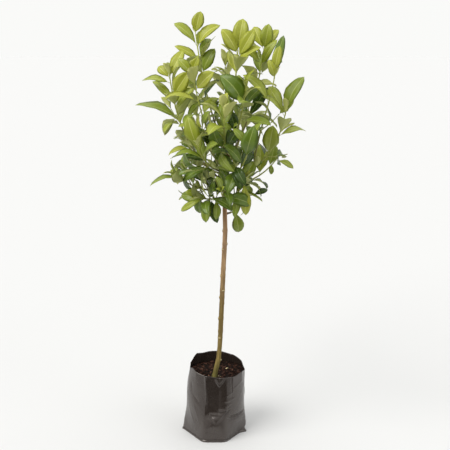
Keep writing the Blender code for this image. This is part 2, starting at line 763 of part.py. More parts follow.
def add_pairs(crown, owner, axis, first, pairs, length, turn, chance, leaves):
    """Crossed pairs of leaves up a stem, closer together near its tip."""
    for pair in range(pairs):
        along = FIRST_PAIR + (LAST_PAIR - FIRST_PAIR) * (pair / max(pairs - 1, 1)) ** PAIR_CROWDING
        share = first + (1 - first) * along
        age = 1 - pair / max(pairs - 1, 1)
        for half in range(2):
            angle = turn + math.pi / 2 * pair + math.pi * half
            for _ in range(TRIES):
                leaf = rule_leaf(axis, share, angle, age, length * length_at(age), chance)
                tip = leaf.root + leaf.way * leaf.length
                if inside_crown(tip) and crown.has_room(owner, leaf):
                    crown.add_leaf(owner, leaf)
                    leaves.append(leaf)
                    break


def add_twigs(crown, shoot, axis, first, chance):
    """Side twigs in the lower half of a stem, where there is room for them."""
    twigs = []
    for number in range(shoot.twigs):
        share = first + (1 - first) * (FIRST_TWIG + TWIG_SPACING * number)
        heading = axis.heading(share)
        for _ in range(TRIES):
            outward = outward_from(heading, chance.uniform(0, 2 * math.pi))
            slant = math.radians(chance.uniform(*TWIG_SLANT))
            way = heading * math.cos(slant) + outward * math.sin(slant)
            twig = twig_axis(axis.place(share), way, chance.uniform(*TWIG_LENGTH))
            if inside_crown(twig.points[-1]) and crown.twig_has_room(shoot.name, twig):
                crown.add_limb(shoot.name, twig, 0.0, 1.0, TWIG_STEPS, TWIG_SIDES_LEVEL)
                twigs.append(twig)
                break
    return twigs


def grow_crown():
    """Every limb's centreline, and for each shoot its twigs and leaves."""
    axes = {"trunk": trunk_axis()}
    for shoot in SHOOTS:
        if shoot.parent == "trunk":
            axes[shoot.name] = limb_axis(shoot, axes["trunk"])
    for shoot in SHOOTS:
        if shoot.parent != "trunk":
            axes[shoot.name] = limb_axis(shoot, axes[shoot.parent])
    crown = Crown()
    crown.add_limb("trunk", axes["trunk"], 0.0, 1.0, TRUNK_STEPS, BOUGH_SIDES_LEVEL)
    for shoot in SHOOTS:
        axis = axes[shoot.name]
        crown.add_limb("bough", axis, 0.0, shoot.bare, BOUGH_STEPS, BOUGH_SIDES_LEVEL)
        crown.add_limb(shoot.name, axis, shoot.bare, 1.0, STEM_STEPS, TWIG_SIDES_LEVEL)
    grown = {shoot.name: ([], []) for shoot in SHOOTS}
    for shoot in SHOOTS:
        for entry in shoot.reach:
            leaf = reach_leaf(axes[shoot.name], shoot.bare, entry)
            if crown.has_room(shoot.name, leaf):
                crown.add_leaf(shoot.name, leaf)
                grown[shoot.name][1].append(leaf)
            else:
                print("no room for a reaching leaf of", shoot.name, entry)
    for number, shoot in enumerate(SHOOTS):
        chance = random.Random(SEED + number)
        twigs, leaves = grown[shoot.name]
        axis = axes[shoot.name]
        twigs += add_twigs(crown, shoot, axis, shoot.bare, chance)
        turn = math.radians(shoot.turn)
        add_pairs(crown, shoot.name, axis, shoot.bare, shoot.pairs, shoot.length, turn, chance, leaves)
        for twig in twigs:
            length = shoot.length * TWIG_LEAF_SHARE
            turn = chance.uniform(0, math.pi)
            add_pairs(crown, shoot.name, twig, TWIG_BARE, TWIG_PAIRS, length, turn, chance, leaves)
    return axes, grown


def make_trunk(axis, collection):
    points, diameters = stretch(axis, 0.0, 1.0, TRUNK_STEPS, square_end=True)
    mesh = tube_mesh(points, diameters, TRUNK_SIDES_LEVEL)
    # The cut at the foot lies flat on the mix
    foot = TRUNK_PATH[0][0][2]
    for vertex in mesh.vertices:
        vertex.co.z = max(vertex.co.z, foot)
    return new_object("trunk", mesh, collection, new_material("trunk_bark", TRUNK_FINISH))


def make_bough(shoot, axes, collection, cutters, material):
    """The bare stretch of a limb, cut to its parent's side a hair's breadth clear of it."""
    axis = axes[shoot.name]
    points, diameters = stretch(axis, 0.0, shoot.bare, BOUGH_STEPS, square_end=True)
    mesh = tube_mesh(points, diameters, BOUGH_SIDES_LEVEL)
    bough = new_object("bough_" + shoot.name, mesh, collection, material)
    boolean(bough, "DIFFERENCE", "EXACT", operand=cutters[shoot.parent])
    return bough


def make_cutter(name, axis, first, last, steps, level, collection):
    points, diameters = stretch(axis, first, last, steps, square_end=True, grow=GAP)
    points[0] -= axis.heading(first) * GAP
    points[-1] += axis.heading(last) * GAP
    cutter = new_object("cutter_" + name, tube_mesh(points, diameters, level), collection)
    cutter.hide_render = True
    cutter.display_type = "WIRE"
    return cutter


def leaf_object(leaf, collection):
    points, triangles = leaf_shape(*leaf)
    mesh = bpy.data.meshes.new("leaf")
    mesh.from_pydata([tuple(point) for point in points], [], triangles)
    return new_object("leaf", mesh, collection)


def make_mass(shoot, axes, grown, collection, material):
    """One mass of foliage: its stem, twigs and leaves joined into one solid."""
    axis = axes[shoot.name]
    first = shoot.bare + GAP / axis.length
    points, diameters = stretch(axis, first, 1.0, STEM_STEPS, square_start=True)
    stem = tube_mesh(points, diameters, TWIG_SIDES_LEVEL)
    mass = new_object("foliage_" + shoot.name, stem, collection, material)
    pieces = new_collection("pieces_" + shoot.name)
    twigs, leaves = grown[shoot.name]
    for twig in twigs:
        new_object("twig", tube_mesh(*stretch(twig, 0.0, 1.0, TWIG_STEPS), TWIG_SIDES_LEVEL), pieces)
    for leaf in leaves:
        leaf_object(leaf, pieces)
    boolean(mass, "UNION", "EXACT", collection=pieces)
    keep_largest_body(mass)
    for piece in list(pieces.objects):
        bpy.data.objects.remove(piece, do_unlink=True)
    bpy.data.collections.remove(pieces)
    return mass


def main():
    clear_scene()
    plant = new_collection("potted_standard_viburnum")
    cutting = new_collection("cutters")
    make_bag(plant)
    make_soil(plant)
    axes, grown = grow_crown()
    make_trunk(axes["trunk"], plant)
    cutters = {}
    cutters["trunk"] = make_cutter(
        "trunk", axes["trunk"], 0.0, 1.0, TRUNK_STEPS, TRUNK_SIDES_LEVEL, cutting
    )
    for parent in {shoot.parent for shoot in SHOOTS if shoot.parent != "trunk"}:
        bare = next(shoot.bare for shoot in SHOOTS if shoot.name == parent)
        cutters[parent] = make_cutter(
            parent, axes[parent], 0.0, bare, BOUGH_STEPS, BOUGH_SIDES_LEVEL, cutting
        )
    bark = new_material("bough_bark", BOUGH_FINISH)
    tones = {
        "young": new_material("young_leaves", YOUNG_LEAF_FINISH),
        "middle": new_material("grown_leaves", MIDDLE_LEAF_FINISH),
        "old": new_material("old_leaves", OLD_LEAF_FINISH),
    }
    triangles = 0
    for shoot in SHOOTS:
        make_bough(shoot, axes, plant, cutters, bark)
        mass = make_mass(shoot, axes, grown, plant, tones[shoot.tone])
        triangles += sum(len(face.vertices) - 2 for face in mass.data.polygons)
    print("leaves", sum(len(leaves) for _, leaves in grown.values()), "foliage triangles", triangles)


main()
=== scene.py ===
# %% [markdown]
# # A potted standard viburnum
#
# A standard is a shrub grown as a small tree: one clear, slim trunk under a head of leafy shoots. This
# one stands in a black film planter bag. The lesson grows it as the plant grows: trunk, boughs, twigs,
# leaves in crossed pairs. Everything is in metres, +Z is up, +X is to the viewer's right, and the bag's
# underside is at the origin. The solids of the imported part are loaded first, because they fix the size.

# %% Load the solids and note their size
import bisect
import json
import math
import random
from collections import namedtuple

import bmesh
import bpy
from mathutils import Matrix, Vector, noise
from mathutils.bvhtree import BVHTree

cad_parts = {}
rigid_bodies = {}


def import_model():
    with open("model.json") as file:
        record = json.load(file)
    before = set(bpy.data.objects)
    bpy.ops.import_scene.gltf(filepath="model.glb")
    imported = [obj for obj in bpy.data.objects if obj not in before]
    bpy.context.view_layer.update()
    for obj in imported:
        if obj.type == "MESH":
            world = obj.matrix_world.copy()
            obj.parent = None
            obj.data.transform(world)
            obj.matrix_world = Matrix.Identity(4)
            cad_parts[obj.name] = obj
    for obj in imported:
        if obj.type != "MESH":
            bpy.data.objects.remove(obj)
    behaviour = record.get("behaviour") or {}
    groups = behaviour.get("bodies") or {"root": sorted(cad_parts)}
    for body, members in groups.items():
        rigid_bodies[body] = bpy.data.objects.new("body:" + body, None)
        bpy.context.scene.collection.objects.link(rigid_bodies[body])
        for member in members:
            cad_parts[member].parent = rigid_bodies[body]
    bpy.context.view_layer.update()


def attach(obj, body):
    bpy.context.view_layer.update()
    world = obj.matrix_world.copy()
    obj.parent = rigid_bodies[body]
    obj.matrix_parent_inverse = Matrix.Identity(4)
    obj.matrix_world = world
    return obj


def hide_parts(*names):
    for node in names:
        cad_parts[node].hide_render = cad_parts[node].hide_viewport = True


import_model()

# %% [markdown]
# ## The camera
#
# A product photograph of a tall plant is taken from a few metres away at about the height of the leaves,
# looking a little down. The rims of the bag are ellipses, and how flat they are gives the tilt of the
# lens. The field of view then follows from how much of the picture the plant fills.

# %% Place the camera
CAMERA_PLACE = Vector((0.044, -3.30, 1.62))
CAMERA_TILT_DOWN = math.radians(12.71)
CAMERA_LENS = 67.95
SENSOR_WIDTH = 36.0

camera_data = bpy.data.cameras.new("camera")
camera_data.lens = CAMERA_LENS
camera_data.sensor_width = SENSOR_WIDTH
camera = bpy.data.objects.new("camera", camera_data)
camera.location = CAMERA_PLACE
camera.rotation_euler = (math.pi / 2 - CAMERA_TILT_DOWN, 0.0, 0.0)
bpy.context.scene.collection.objects.link(camera)
bpy.context.scene.camera = camera
print("the camera stands", round(-CAMERA_PLACE.y, 2), "m in front of the bag")

# %% [markdown]
# ## The studio
#
# The plant stands on a white sweep that runs out into a white room, so only a soft shadow shows where
# the floor is. Broad soft lamps do most of the work: the left one is the strongest, which is why the
# shadow falls to the right. The sweep ends a little way in front of the bag, and the flat front of the
# black film mirrors the dark studio floor beyond it. A world shader holds such a room in a few nodes,
# with no walls to get in the way of other views.

# %% Helpers for objects and materials
UP = Vector((0.0, 0.0, 1.0))
AWAY = Vector((0.0, 1.0, 0.0))


def add_object(name, mesh, materials, smooth=True):
    """Puts a mesh into the scene under a name, with its materials and its shading."""
    item = bpy.data.objects.new(name, mesh)
    bpy.context.scene.collection.objects.link(item)
    for material in materials:
        mesh.materials.append(material)
    for face in mesh.polygons:
        face.use_smooth = smooth
    return item


def add_piece(name, mesh, materials, slot, nodes=(), smooth=True):
    """Adds a piece of the plant with its materials, hides the solids that it stands for, and prints its
    triangles.
    """
    item = add_object(name, mesh, materials, smooth)
    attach(item, "root")
    if nodes:
        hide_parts(*nodes)
    print(name, "has", sum(len(face.vertices) - 2 for face in mesh.polygons), "triangles")
    return item


def mesh_of(shape, name):
    """The mesh of a finished shape."""
    mesh = bpy.data.meshes.new(name)
    shape.to_mesh(mesh)
    shape.free()
    return mesh


def tapered(share, first, last, start=0.0, end=1.0):
    """A value that runs evenly from first to last between two shares."""
    along = min(max((share - start) / (end - start), 0.0), 1.0)
    return first + (last - first) * along


def bell(distance, width):
    """A smooth bump: 1 in its middle, and nearly 0 from two widths away."""
    return math.exp(-((distance / width) ** 2))


def workings(material):
    """A material's node tree and its shader."""
    return material.node_tree, material.node_tree.nodes["Principled BSDF"]


def new_material(name, colour, roughness, gloss):
    """A plain Principled material."""
    material = bpy.data.materials.new(name)
    material.use_nodes = True
    _, shader = workings(material)
    shader.inputs["Base Color"].default_value = (*colour, 1.0)
    shader.inputs["Roughness"].default_value = roughness
    shader.inputs["Specular IOR Level"].default_value = gloss
    return material


# %% Helpers for patterns
# Noise lies nearly all between these values
NOISE_RANGE = (0.3, 0.7)


def add_node(tree, kind, inputs=None, **settings):
    """A shader node, with each input set to a value or linked to another node's output."""
    node = tree.nodes.new("ShaderNode" + kind)
    for name, setting in settings.items():
        setattr(node, name, setting)
    for label, value in (inputs or {}).items():
        if isinstance(value, bpy.types.NodeSocket):
            tree.links.new(value, node.inputs[label])
        else:
            node.inputs[label].default_value = value
    return node


def add_ramp(tree, factor, stops):
    """A colour ramp from (position, colour) stops, driven by a factor."""
    ramp = add_node(tree, "ValToRGB", {"Fac": factor})
    elements = ramp.color_ramp.elements
    while len(elements) < len(stops):
        elements.new(0.5)
    for element, (position, colour) in zip(elements, stops):
        element.position = position
        element.color = (*colour, 1.0)
    return ramp.outputs["Color"]


def ranged(tree, value, low, high, to_low=0.0, to_high=1.0):
    """A value carried from one range to another."""
    inputs = {"Value": value, "From Min": low, "From Max": high, "To Min": to_low, "To Max": to_high}
    return add_node(tree, "MapRange", inputs).outputs["Result"]


def place_on(tree):
    """The place on the object, in metres."""
    return add_node(tree, "TexCoord").outputs["Object"]


def height_in(tree, place):
    """The height of a place."""
    return add_node(tree, "SeparateXYZ", {"Vector": place}).outputs["Z"]


def add_noise(tree, place, scale, detail):
    """The values of a noise over the places of an object."""
    return add_node(tree, "TexNoise", {"Vector": place, "Scale": scale, "Detail": detail}).outputs["Fac"]


def add_bump(tree, shader, height, strength, distance):
    """Makes a surface uneven by a pattern of heights."""
    bump = add_node(tree, "Bump", {"Height": height, "Strength": strength, "Distance": distance})
    tree.links.new(bump.outputs["Normal"], shader.inputs["Normal"])


def add_shaded_colour(tree, shader, colour, noise_pattern, dark, light):
    """Gives a material a colour that a noise darkens and lightens."""
    shade = ranged(tree, noise_pattern, *NOISE_RANGE, dark, light)
    shaded = add_node(tree, "VectorMath", {"Vector": colour, "Scale": shade}, operation="SCALE")
    tree.links.new(shaded.outputs["Vector"], shader.inputs["Base Color"])


# %% Make the floor and the white room
# A finish is a colour as red, green and blue, a roughness and the strength of the gloss
FLOOR_FINISH = ((0.805, 0.808, 0.812), 0.9, 0.0)
FLOOR_RADIUS = 60.0
FLOOR_SIDES = 64
FLOOR_FRONT = Vector((0.0, -0.36, 0.0))
WHITE_ROOM = (0.955, 0.957, 0.940)
ROOM_LIGHT = (0.63, 0.63, 0.62)
DARK_FLOOR = (0.05, 0.05, 0.05)
# The middle of the dark floor as the bag sees it, and how closely a direction must point there, as the
# cosine of the angle between them, to be light or dark
DARK_MIDDLE = (0.05, -0.913, -0.405)
LIGHT_BELOW, DARK_ABOVE = 0.82, 0.93

floor_shape = bmesh.new()
bmesh.ops.create_circle(floor_shape, cap_ends=True, radius=FLOOR_RADIUS, segments=FLOOR_SIDES)
whole = [*floor_shape.verts, *floor_shape.edges, *floor_shape.faces]
bmesh.ops.bisect_plane(floor_shape, geom=whole, plane_co=FLOOR_FRONT, plane_no=-AWAY, clear_outer=True)
floor_material = new_material("white_floor", *FLOOR_FINISH)
floor = add_object("floor", mesh_of(floor_shape, "floor"), [floor_material])

world = bpy.data.worlds.new("white_room")
bpy.context.scene.world = world
world.use_nodes = True
room = world.node_tree
direction = add_node(room, "TexCoord").outputs["Generated"]
nearness = add_node(room, "VectorMath", {0: direction, 1: DARK_MIDDLE}, operation="DOT_PRODUCT")
darkness = ranged(room, nearness.outputs["Value"], LIGHT_BELOW, DARK_ABOVE)
lit_room = room.nodes["Background"]
room.links.new(add_ramp(room, darkness, ((0.0, ROOM_LIGHT), (1.0, DARK_FLOOR))), lit_room.inputs["Color"])
white = add_node(room, "Background", {"Color": (*WHITE_ROOM, 1.0)}).outputs["Background"]
seen_directly = add_node(room, "LightPath").outputs["Is Camera Ray"]
either = add_node(room, "MixShader", {0: seen_directly, 1: lit_room.outputs["Background"], 2: white})
room.links.new(either.outputs["Shader"], room.nodes["World Output"].inputs["Surface"])
bpy.context.scene.view_settings.view_transform = "Standard"

# %% Hang the lamps
# Broad lamps far away light the whole floor evenly: where each stands, how wide it looks in degrees,
# its strength and its colour
LAMPS = {
    "left_key": (Vector((-2.2, -1.7, 2.4)), 46.0, 1.8, (1.0, 0.985, 0.95)),
    "right_fill": (Vector((2.6, -1.6, 1.5)), 40.0, 0.35, (0.97, 0.985, 1.0)),
    "top_fill": (Vector((0.2, 0.9, 3.0)), 50.0, 0.45, (1.0, 1.0, 0.98)),
}

for name, (place, breadth, strength, colour) in LAMPS.items():
    lamp_data = bpy.data.lights.new(name, "SUN")
    lamp_data.angle = math.radians(breadth)
    lamp_data.energy = strength
    lamp_data.color = colour
    lamp = bpy.data.objects.new(name, lamp_data)
    lamp.location = place
    lamp.rotation_euler = (-place).to_track_quat("-Z", "Y").to_euler()
    bpy.context.scene.collection.objects.link(lamp)
print("lamps:", ", ".join(LAMPS))

# %% [markdown]
# ## The planter bag
#
# A nursery bag is a tube of thin black film, welded across the bottom, with its sides gusseted so that
# it stands. Filled with mix it is round at the rim, while the folded bottom is six-sided with sharp
# corners. The film keeps the creases of its folding: long upright ones, and slanting wrinkles where the
# gusset opens. It could be a cloth simulation, but named folds pressed into a tube give just the creases
# that the real bag shows.

# %% The outline of the bag, as in the solids
BAG_HEIGHT = 0.280
BAG_RIM_RADIUS = 0.115
BAG_RIM_CENTRE = Vector((0.012, 0.0))
BAG_WAIST_RADIUS = 0.119
# The gusseted bottom folds flat into six straight sides: direction of each in degrees, and its distance
BASE_SIDES = ((34, 0.112), (90, 0.124), (146, 0.112), (214, 0.112), (270, 0.131), (326, 0.112))
BASE_CORNER_SHARPNESS = 22
BASE_BLENDS_OUT_AT = 0.55
RIM_LIFT_AT_BACK = 0.0125
RIM_DROP_AT_RIGHT = 0.0070
RIM_SAG_AT_SIDES = 0.0088
# The thin film also dips at its rim, and rises where the depth is below zero: direction, depth, and
# width in degrees
RIM_DIPS = (
    (272, 0.0070, 17),
    (209, -0.0145, 17),
    (143, -0.0130, 16),
    (38, -0.0070, 18),
    (333, -0.0120, 16),
)


def base_radius(angle):
    """Distance from the middle to the bottom's rounded six-sided outline, in this direction."""
    reach = 0.0
    for side_angle, distance in BASE_SIDES:
        facing = math.cos(angle - math.radians(side_angle))
        reach += (max(facing, 0.0) / distance) ** BASE_CORNER_SHARPNESS
    return reach ** (-1 / BASE_CORNER_SHARPNESS)


def degrees_from(direction, angle):
    """How far an angle in radians lies to either side of a direction in degrees, in degrees."""
    return (math.degrees(angle) - direction + 180) % 360 - 180


def rim_height(angle):
    lift = RIM_LIFT_AT_BACK * math.sin(angle) - RIM_DROP_AT_RIGHT * math.cos(angle)
    height = BAG_HEIGHT + lift - RIM_SAG_AT_SIDES * math.cos(2 * angle)
    for direction, depth, width in RIM_DIPS:
        height -= depth * bell(degrees_from(direction, angle), width)
    return height


def bag_place(angle, share, inset):
    """A point of the bag's side at a share of its height, moved in from the outer face by the inset."""
    foot = min(share / BASE_BLENDS_OUT_AT, 1.0)
    foot_weight = 1 - foot * foot * (3 - 2 * foot)
    round_radius = BAG_WAIST_RADIUS + (BAG_RIM_RADIUS - BAG_WAIST_RADIUS) * share
    radius = round_radius + (base_radius(angle) - round_radius) * foot_weight - inset
    centre = BAG_RIM_CENTRE * share
    height = rim_height(angle) * share
    return Vector((centre.x + radius * math.cos(angle), centre.y + radius * math.sin(angle), height))


# %% The folds in the film
Fold = namedtuple("Fold", "start end stands_out width")

# Each fold's two ends, as a direction in degrees and a height, how far it stands out, and its width
FOLDS = (
    # The creases on either side of the flat panel
    Fold((254, 0.105), (245, 0.290), 0.0030, 0.0042),
    Fold((303, 0.165), (301, 0.290), -0.0020, 0.0024),
    # A small flap turned out at the rim
    Fold((266, 0.262), (276, 0.234), 0.0044, 0.0050),
    Fold((276, 0.234), (287, 0.268), 0.0036, 0.0050),
    # Wrinkles where the gusset opens, below the panel and to its right
    Fold((274, 0.129), (303, 0.138), 0.0036, 0.0036),
    Fold((256, 0.117), (284, 0.110), 0.0036, 0.0042),
    Fold((283, 0.110), (294, 0.130), 0.0030, 0.0040),
    Fold((265, 0.101), (281, 0.103), 0.0022, 0.0034),
    Fold((254, 0.118), (272, 0.076), -0.0036, 0.0040),
    Fold((272, 0.076), (301, 0.138), -0.0042, 0.0036),
    Fold((293, 0.098), (351, 0.094), -0.0080, 0.0034),
    Fold((294, 0.092), (352, 0.086), 0.0060, 0.0034),
    Fold((295, 0.087), (352, 0.078), -0.0060, 0.0034),
    Fold((302, 0.070), (344, 0.062), 0.0020, 0.0070),
    Fold((286, 0.166), (312, 0.178), 0.0026, 0.0044),
    Fold((289, 0.144), (303, 0.157), 0.0024, 0.0036),
    Fold((305, 0.216), (336, 0.240), 0.0018, 0.0080),
    Fold((291, 0.192), (307, 0.205), 0.0020, 0.0060),
    # Long soft dents of the left side
    Fold((209, 0.235), (216, 0.187), -0.0022, 0.0090),
    Fold((216, 0.187), (234, 0.160), -0.0022, 0.0090),
    Fold((222, 0.150), (238, 0.070), 0.0018, 0.0130),
    Fold((205, 0.120), (222, 0.060), 0.0016, 0.0090),
    # The side away from the camera
    Fold((118, 0.055), (118, 0.290), 0.0026, 0.0045),
    Fold((62, 0.080), (60, 0.285), -0.0018, 0.0035),
    Fold((70, 0.060), (104, 0.130), 0.0030, 0.0060),
    Fold((76, 0.052), (110, 0.118), -0.0026, 0.0050),
    Fold((44, 0.090), (82, 0.170), -0.0026, 0.0060),
    Fold((130, 0.150), (165, 0.085), 0.0024, 0.0070),
    Fold((345, 0.210), (375, 0.120), 0.0022, 0.0070),
)
# A fold's crest falls off this steeply, and is over this many widths away
CREST_STEEPNESS = 1.6
FOLD_ENDS_AT = 2.5
# A fold that ends above the rim has its full height after one part in this many of its length. Others rise
# and sink like half a wave, which is cut off at this share from either end
FOLD_FADES_IN = 3
FOLD_TAIL = 0.02
# The mix presses the film out here: direction, height, how far it stands out, and half its size
BULGES = (
    (271, 0.078, 0.0045, 0.034),
    (222, 0.130, 0.0030, 0.045),
    (322, 0.150, 0.0025, 0.050),
    (186, 0.190, 0.0060, 0.060),
)
# Between two long creases the film is pulled flat: their directions, where the right one starts to
# fade, and the heights between which the flat part begins
FLAT_PANEL = (249, 293)
PANEL_FADES_FROM = 276
PANEL_FOOT, PANEL_FULL = 0.095, 0.120
# The rim keeps the corners of its turned-down hem
RIM_CORNERS = 13
RIM_CORNERS_FROM = 0.80
# Soft waves of the film: their size and how far they stand out
WAVES = ((0.055, 0.0011), (0.018, 0.0004))
# The folded seam along the bottom: its height, width and depth
SEAM_HEIGHT, SEAM_WIDTH, SEAM_DEPTH = 0.009, 0.0022, 0.0036
# The folded gussets end in two ears at the bottom corners, beside a dent at one of them: direction,
# breadth in degrees and how far it stands out
EARS = ((180, 3.5, 0.0050), (347, 6.0, 0.0160), (2, 6.0, -0.0080))
EAR_HEIGHT = 0.012
# The film lies still near its bottom, below this share of its height
LOOSE_FROM = 0.12


def unrolled(degrees, height):
    """A place on the film as if it were cut open and laid flat."""
    return Vector((math.radians(degrees) * BAG_WAIST_RADIUS, height))


def fold_height(fold, angle, height):
    """How far one fold moves the film at this place: a sharp crest that runs out at both ends."""
    across = math.degrees(angle)
    if fold.end[0] > 360 and across < 180:
        across += 360
    start, run = unrolled(*fold.start), unrolled(*fold.end) - unrolled(*fold.start)
    offset = unrolled(across, height) - start
    along = min(max(offset.dot(run) / run.length_squared, 0.0), 1.0)
    distance = (offset - run * along).length / fold.width
    if distance > FOLD_ENDS_AT:
        return 0.0
    if fold.end[1] > BAG_HEIGHT:
        fade = min(1.0, along * FOLD_FADES_IN)
    else:
        fade = math.sin(math.pi * min(max(along, FOLD_TAIL), 1 - FOLD_TAIL)) ** 0.5
    return fold.stands_out * fade * math.exp(-distance * CREST_STEEPNESS)


def flattened(turn, height):
    """The factor that pulls the round film flat between its two long creases."""
    first, last = (math.radians(side) for side in FLAT_PANEL)
    if not first < turn < last:
        return 1.0
    flat = math.cos((last - first) / 2) / math.cos(turn - (first + last) / 2)
    flat = tapered(turn, flat, 1.0, math.radians(PANEL_FADES_FROM), last)
    return tapered(height, 1.0, flat, PANEL_FOOT, PANEL_FULL)


def hemmed(turn, share):
    """The factor that gives the round rim its many blunt corners."""
    corner = math.pi / RIM_CORNERS
    facet = math.cos(corner) / math.cos(turn % (2 * corner) - corner)
    return tapered(share, 1.0, facet, RIM_CORNERS_FROM, 1.0)


def film_place(angle, share, inset=0.0):
    """A point of the bag's film, with its folds, flat panel, waves and turned hem."""
    place = bag_place(angle, share, inset)
    height = place.z
    centre = BAG_RIM_CENTRE * share
    turn = angle % (2 * math.pi)
    radius = (place.xy - centre).length * flattened(turn, height) * hemmed(turn, share)
    loose = min(1.0, share / LOOSE_FROM)
    for fold in FOLDS:
        radius += fold_height(fold, turn, height) * loose
    for direction, middle, stands_out, size in BULGES:
        away = unrolled(math.degrees(turn), height) - unrolled(direction, middle)
        radius += stands_out * bell(away.length, size) * loose
    for size, stands_out in WAVES:
        radius += stands_out * noise.noise(place / size) * loose
    radius -= SEAM_DEPTH * bell(height - SEAM_HEIGHT, SEAM_WIDTH)
    for direction, breadth, stands_out in EARS:
        radius += stands_out * bell(degrees_from(direction, turn), breadth) * bell(height, EAR_HEIGHT)
    return Vector((centre.x + radius * math.cos(angle), centre.y + radius * math.sin(angle), height))


# %% Wrap a tube of film round the mix
FILM_SIDES = 400
FILM_RINGS = 110
# The rings lie closer together towards the bottom seam
RING_CROWDING = 1.25
FILM_THICKNESS = 0.0008
# An edge below this height is part of the bag's foot
FOOT_BELOW = 0.001


def wrapped_tube(sides, rings):
    """A tube of one unit's height and radius, divided into rings."""
    shape = bmesh.new()
    bmesh.ops.create_cone(shape, cap_ends=False, segments=sides, radius1=1.0, radius2=1.0, depth=1.0)
    upright = [edge for edge in shape.edges if abs(edge.verts[0].co.z - edge.verts[1].co.z) > 0.5]
    bmesh.ops.subdivide_edges(shape, edges=upright, cuts=rings - 1)
    return shape


film = wrapped_tube(FILM_SIDES, FILM_RINGS)
for vertex in film.verts:
    share = max(vertex.co.z + 0.5, 0.0) ** RING_CROWDING
    vertex.co = film_place(math.atan2(vertex.co.y, vertex.co.x), share)
lowest = [edge for edge in film.edges if edge.is_boundary and edge.verts[0].co.z < FOOT_BELOW]
bmesh.ops.contextual_create(film, geom=lowest)
bmesh.ops.recalc_face_normals(film, faces=film.faces)

# %% The finish of the film
# Black film is nearly black in itself: its greys are the room, mirrored softly. Fine crinkles break
# the mirror up, so the bump and the roughness both come from noise.
FILM_FINISH = ((0.025, 0.018, 0.014), 0.26, 1.0)
FILM_GLOSS_TINT = (1.0, 0.935, 0.905)
FILM_ROUGHNESS = (0.20, 0.32)
# A noise is given by its scale and its detail, and a bump by its strength and its height in metres
CRINKLES, CRINKLE_BUMP = (70.0, 3.0), (0.22, 0.0010)
DULL_PATCHES = (9.0, 2.0)

film_material = new_material("black_film", *FILM_FINISH)
tree, shader = workings(film_material)
shader.inputs["Specular Tint"].default_value = (*FILM_GLOSS_TINT, 1.0)
spot = place_on(tree)
add_bump(tree, shader, add_noise(tree, spot, *CRINKLES), *CRINKLE_BUMP)
dullness = ranged(tree, add_noise(tree, spot, *DULL_PATCHES), *NOISE_RANGE, *FILM_ROUGHNESS)
tree.links.new(dullness, shader.inputs["Roughness"])

bag_mesh = mesh_of(film, "planter_bag_film")
bag = add_piece("planter_bag_film", bag_mesh, [film_material], "film", ["planter_bag"])
wall = bag.modifiers.new("film_thickness", "SOLIDIFY")
wall.thickness = FILM_THICKNESS
wall.offset = -1.0

# %% [markdown]
# ## The potting mix
#
# The bag is filled with composted bark: a dark, moist, uneven bed with loose chips on top, most of them
# dark reddish brown, and a few pale fresh ones. The bed is one lumpy surface. The chips are hundreds of
# small slabs, joined into one mesh for each colour, so that they stay light to render and to export.

# %% The bed of the mix
SOIL_TOP = 0.258
SOIL_MOUND = 0.006
SOIL_DEPTH = 0.040
SOIL_INSET = 0.0022
SOIL_LUMPS = ((0.024, 0.0032), (0.008, 0.0016))
TRUNK_FOOT = Vector((0.001, -0.080))
FOOT_MOUND_RADIUS = 0.045
GAP = 0.0003
SOIL_SIDES, SOIL_RINGS = 120, 36
# Where the rings meet at the trunk's foot, points closer than this are welded
WELD_DISTANCE = 0.00005


def soil_height(x, y):
    """The height of the mix: a low mound at the trunk's foot, and lumps all over."""
    away = (Vector((x, y)) - TRUNK_FOOT).length
    height = SOIL_TOP + SOIL_MOUND * max(1 - away / FOOT_MOUND_RADIUS, 0.0)
    lumps = sum(depth * noise.noise(Vector((x, y, 0.0)) / size) for size, depth in SOIL_LUMPS)
    return height + lumps * min(away / FOOT_MOUND_RADIUS, 1.0)


def soil_edge(angle):
    """Where the mix meets the film, in this direction."""
    return film_place(angle, SOIL_TOP / rim_height(angle), SOIL_INSET)


soil = wrapped_tube(SOIL_SIDES, SOIL_RINGS)
for vertex in soil.verts:
    edge = soil_edge(math.atan2(vertex.co.y, vertex.co.x))
    outward = 0.5 - vertex.co.z
    place = edge.xy.lerp(TRUNK_FOOT, 1 - outward)
    vertex.co = Vector((place.x, place.y, soil_height(place.x, place.y)))
bmesh.ops.remove_doubles(soil, verts=soil.verts, dist=WELD_DISTANCE)
border = [edge for edge in soil.edges if edge.is_boundary]
skirt = bmesh.ops.extrude_edge_only(soil, edges=border)["geom"]
for vertex in [item for item in skirt if isinstance(item, bmesh.types.BMVert)]:
    vertex.co.z = SOIL_TOP - SOIL_DEPTH
lowest = [edge for edge in soil.edges if edge.is_boundary]
bmesh.ops.contextual_create(soil, geom=lowest)
bmesh.ops.recalc_face_normals(soil, faces=soil.faces)

MIX_FINISH = ((0.05, 0.03, 0.02), 0.95, 0.08)
MIX_GRAIN, MIX_BUMP = (130.0, 4.0), (0.8, 0.003)
MIX_COLOURS = ((0.38, (0.006, 0.003, 0.002)), (0.54, (0.026, 0.012, 0.008)), (0.72, (0.085, 0.038, 0.024)))
mix_material = new_material("moist_bark_mix", *MIX_FINISH)
tree, shader = workings(mix_material)
grain = add_noise(tree, place_on(tree), *MIX_GRAIN)
tree.links.new(add_ramp(tree, grain, MIX_COLOURS), shader.inputs["Base Color"])
add_bump(tree, shader, grain, *MIX_BUMP)
add_piece("potting_mix_bed", mesh_of(soil, "potting_mix_bed"), [mix_material], "mix", ["potting_mix"])

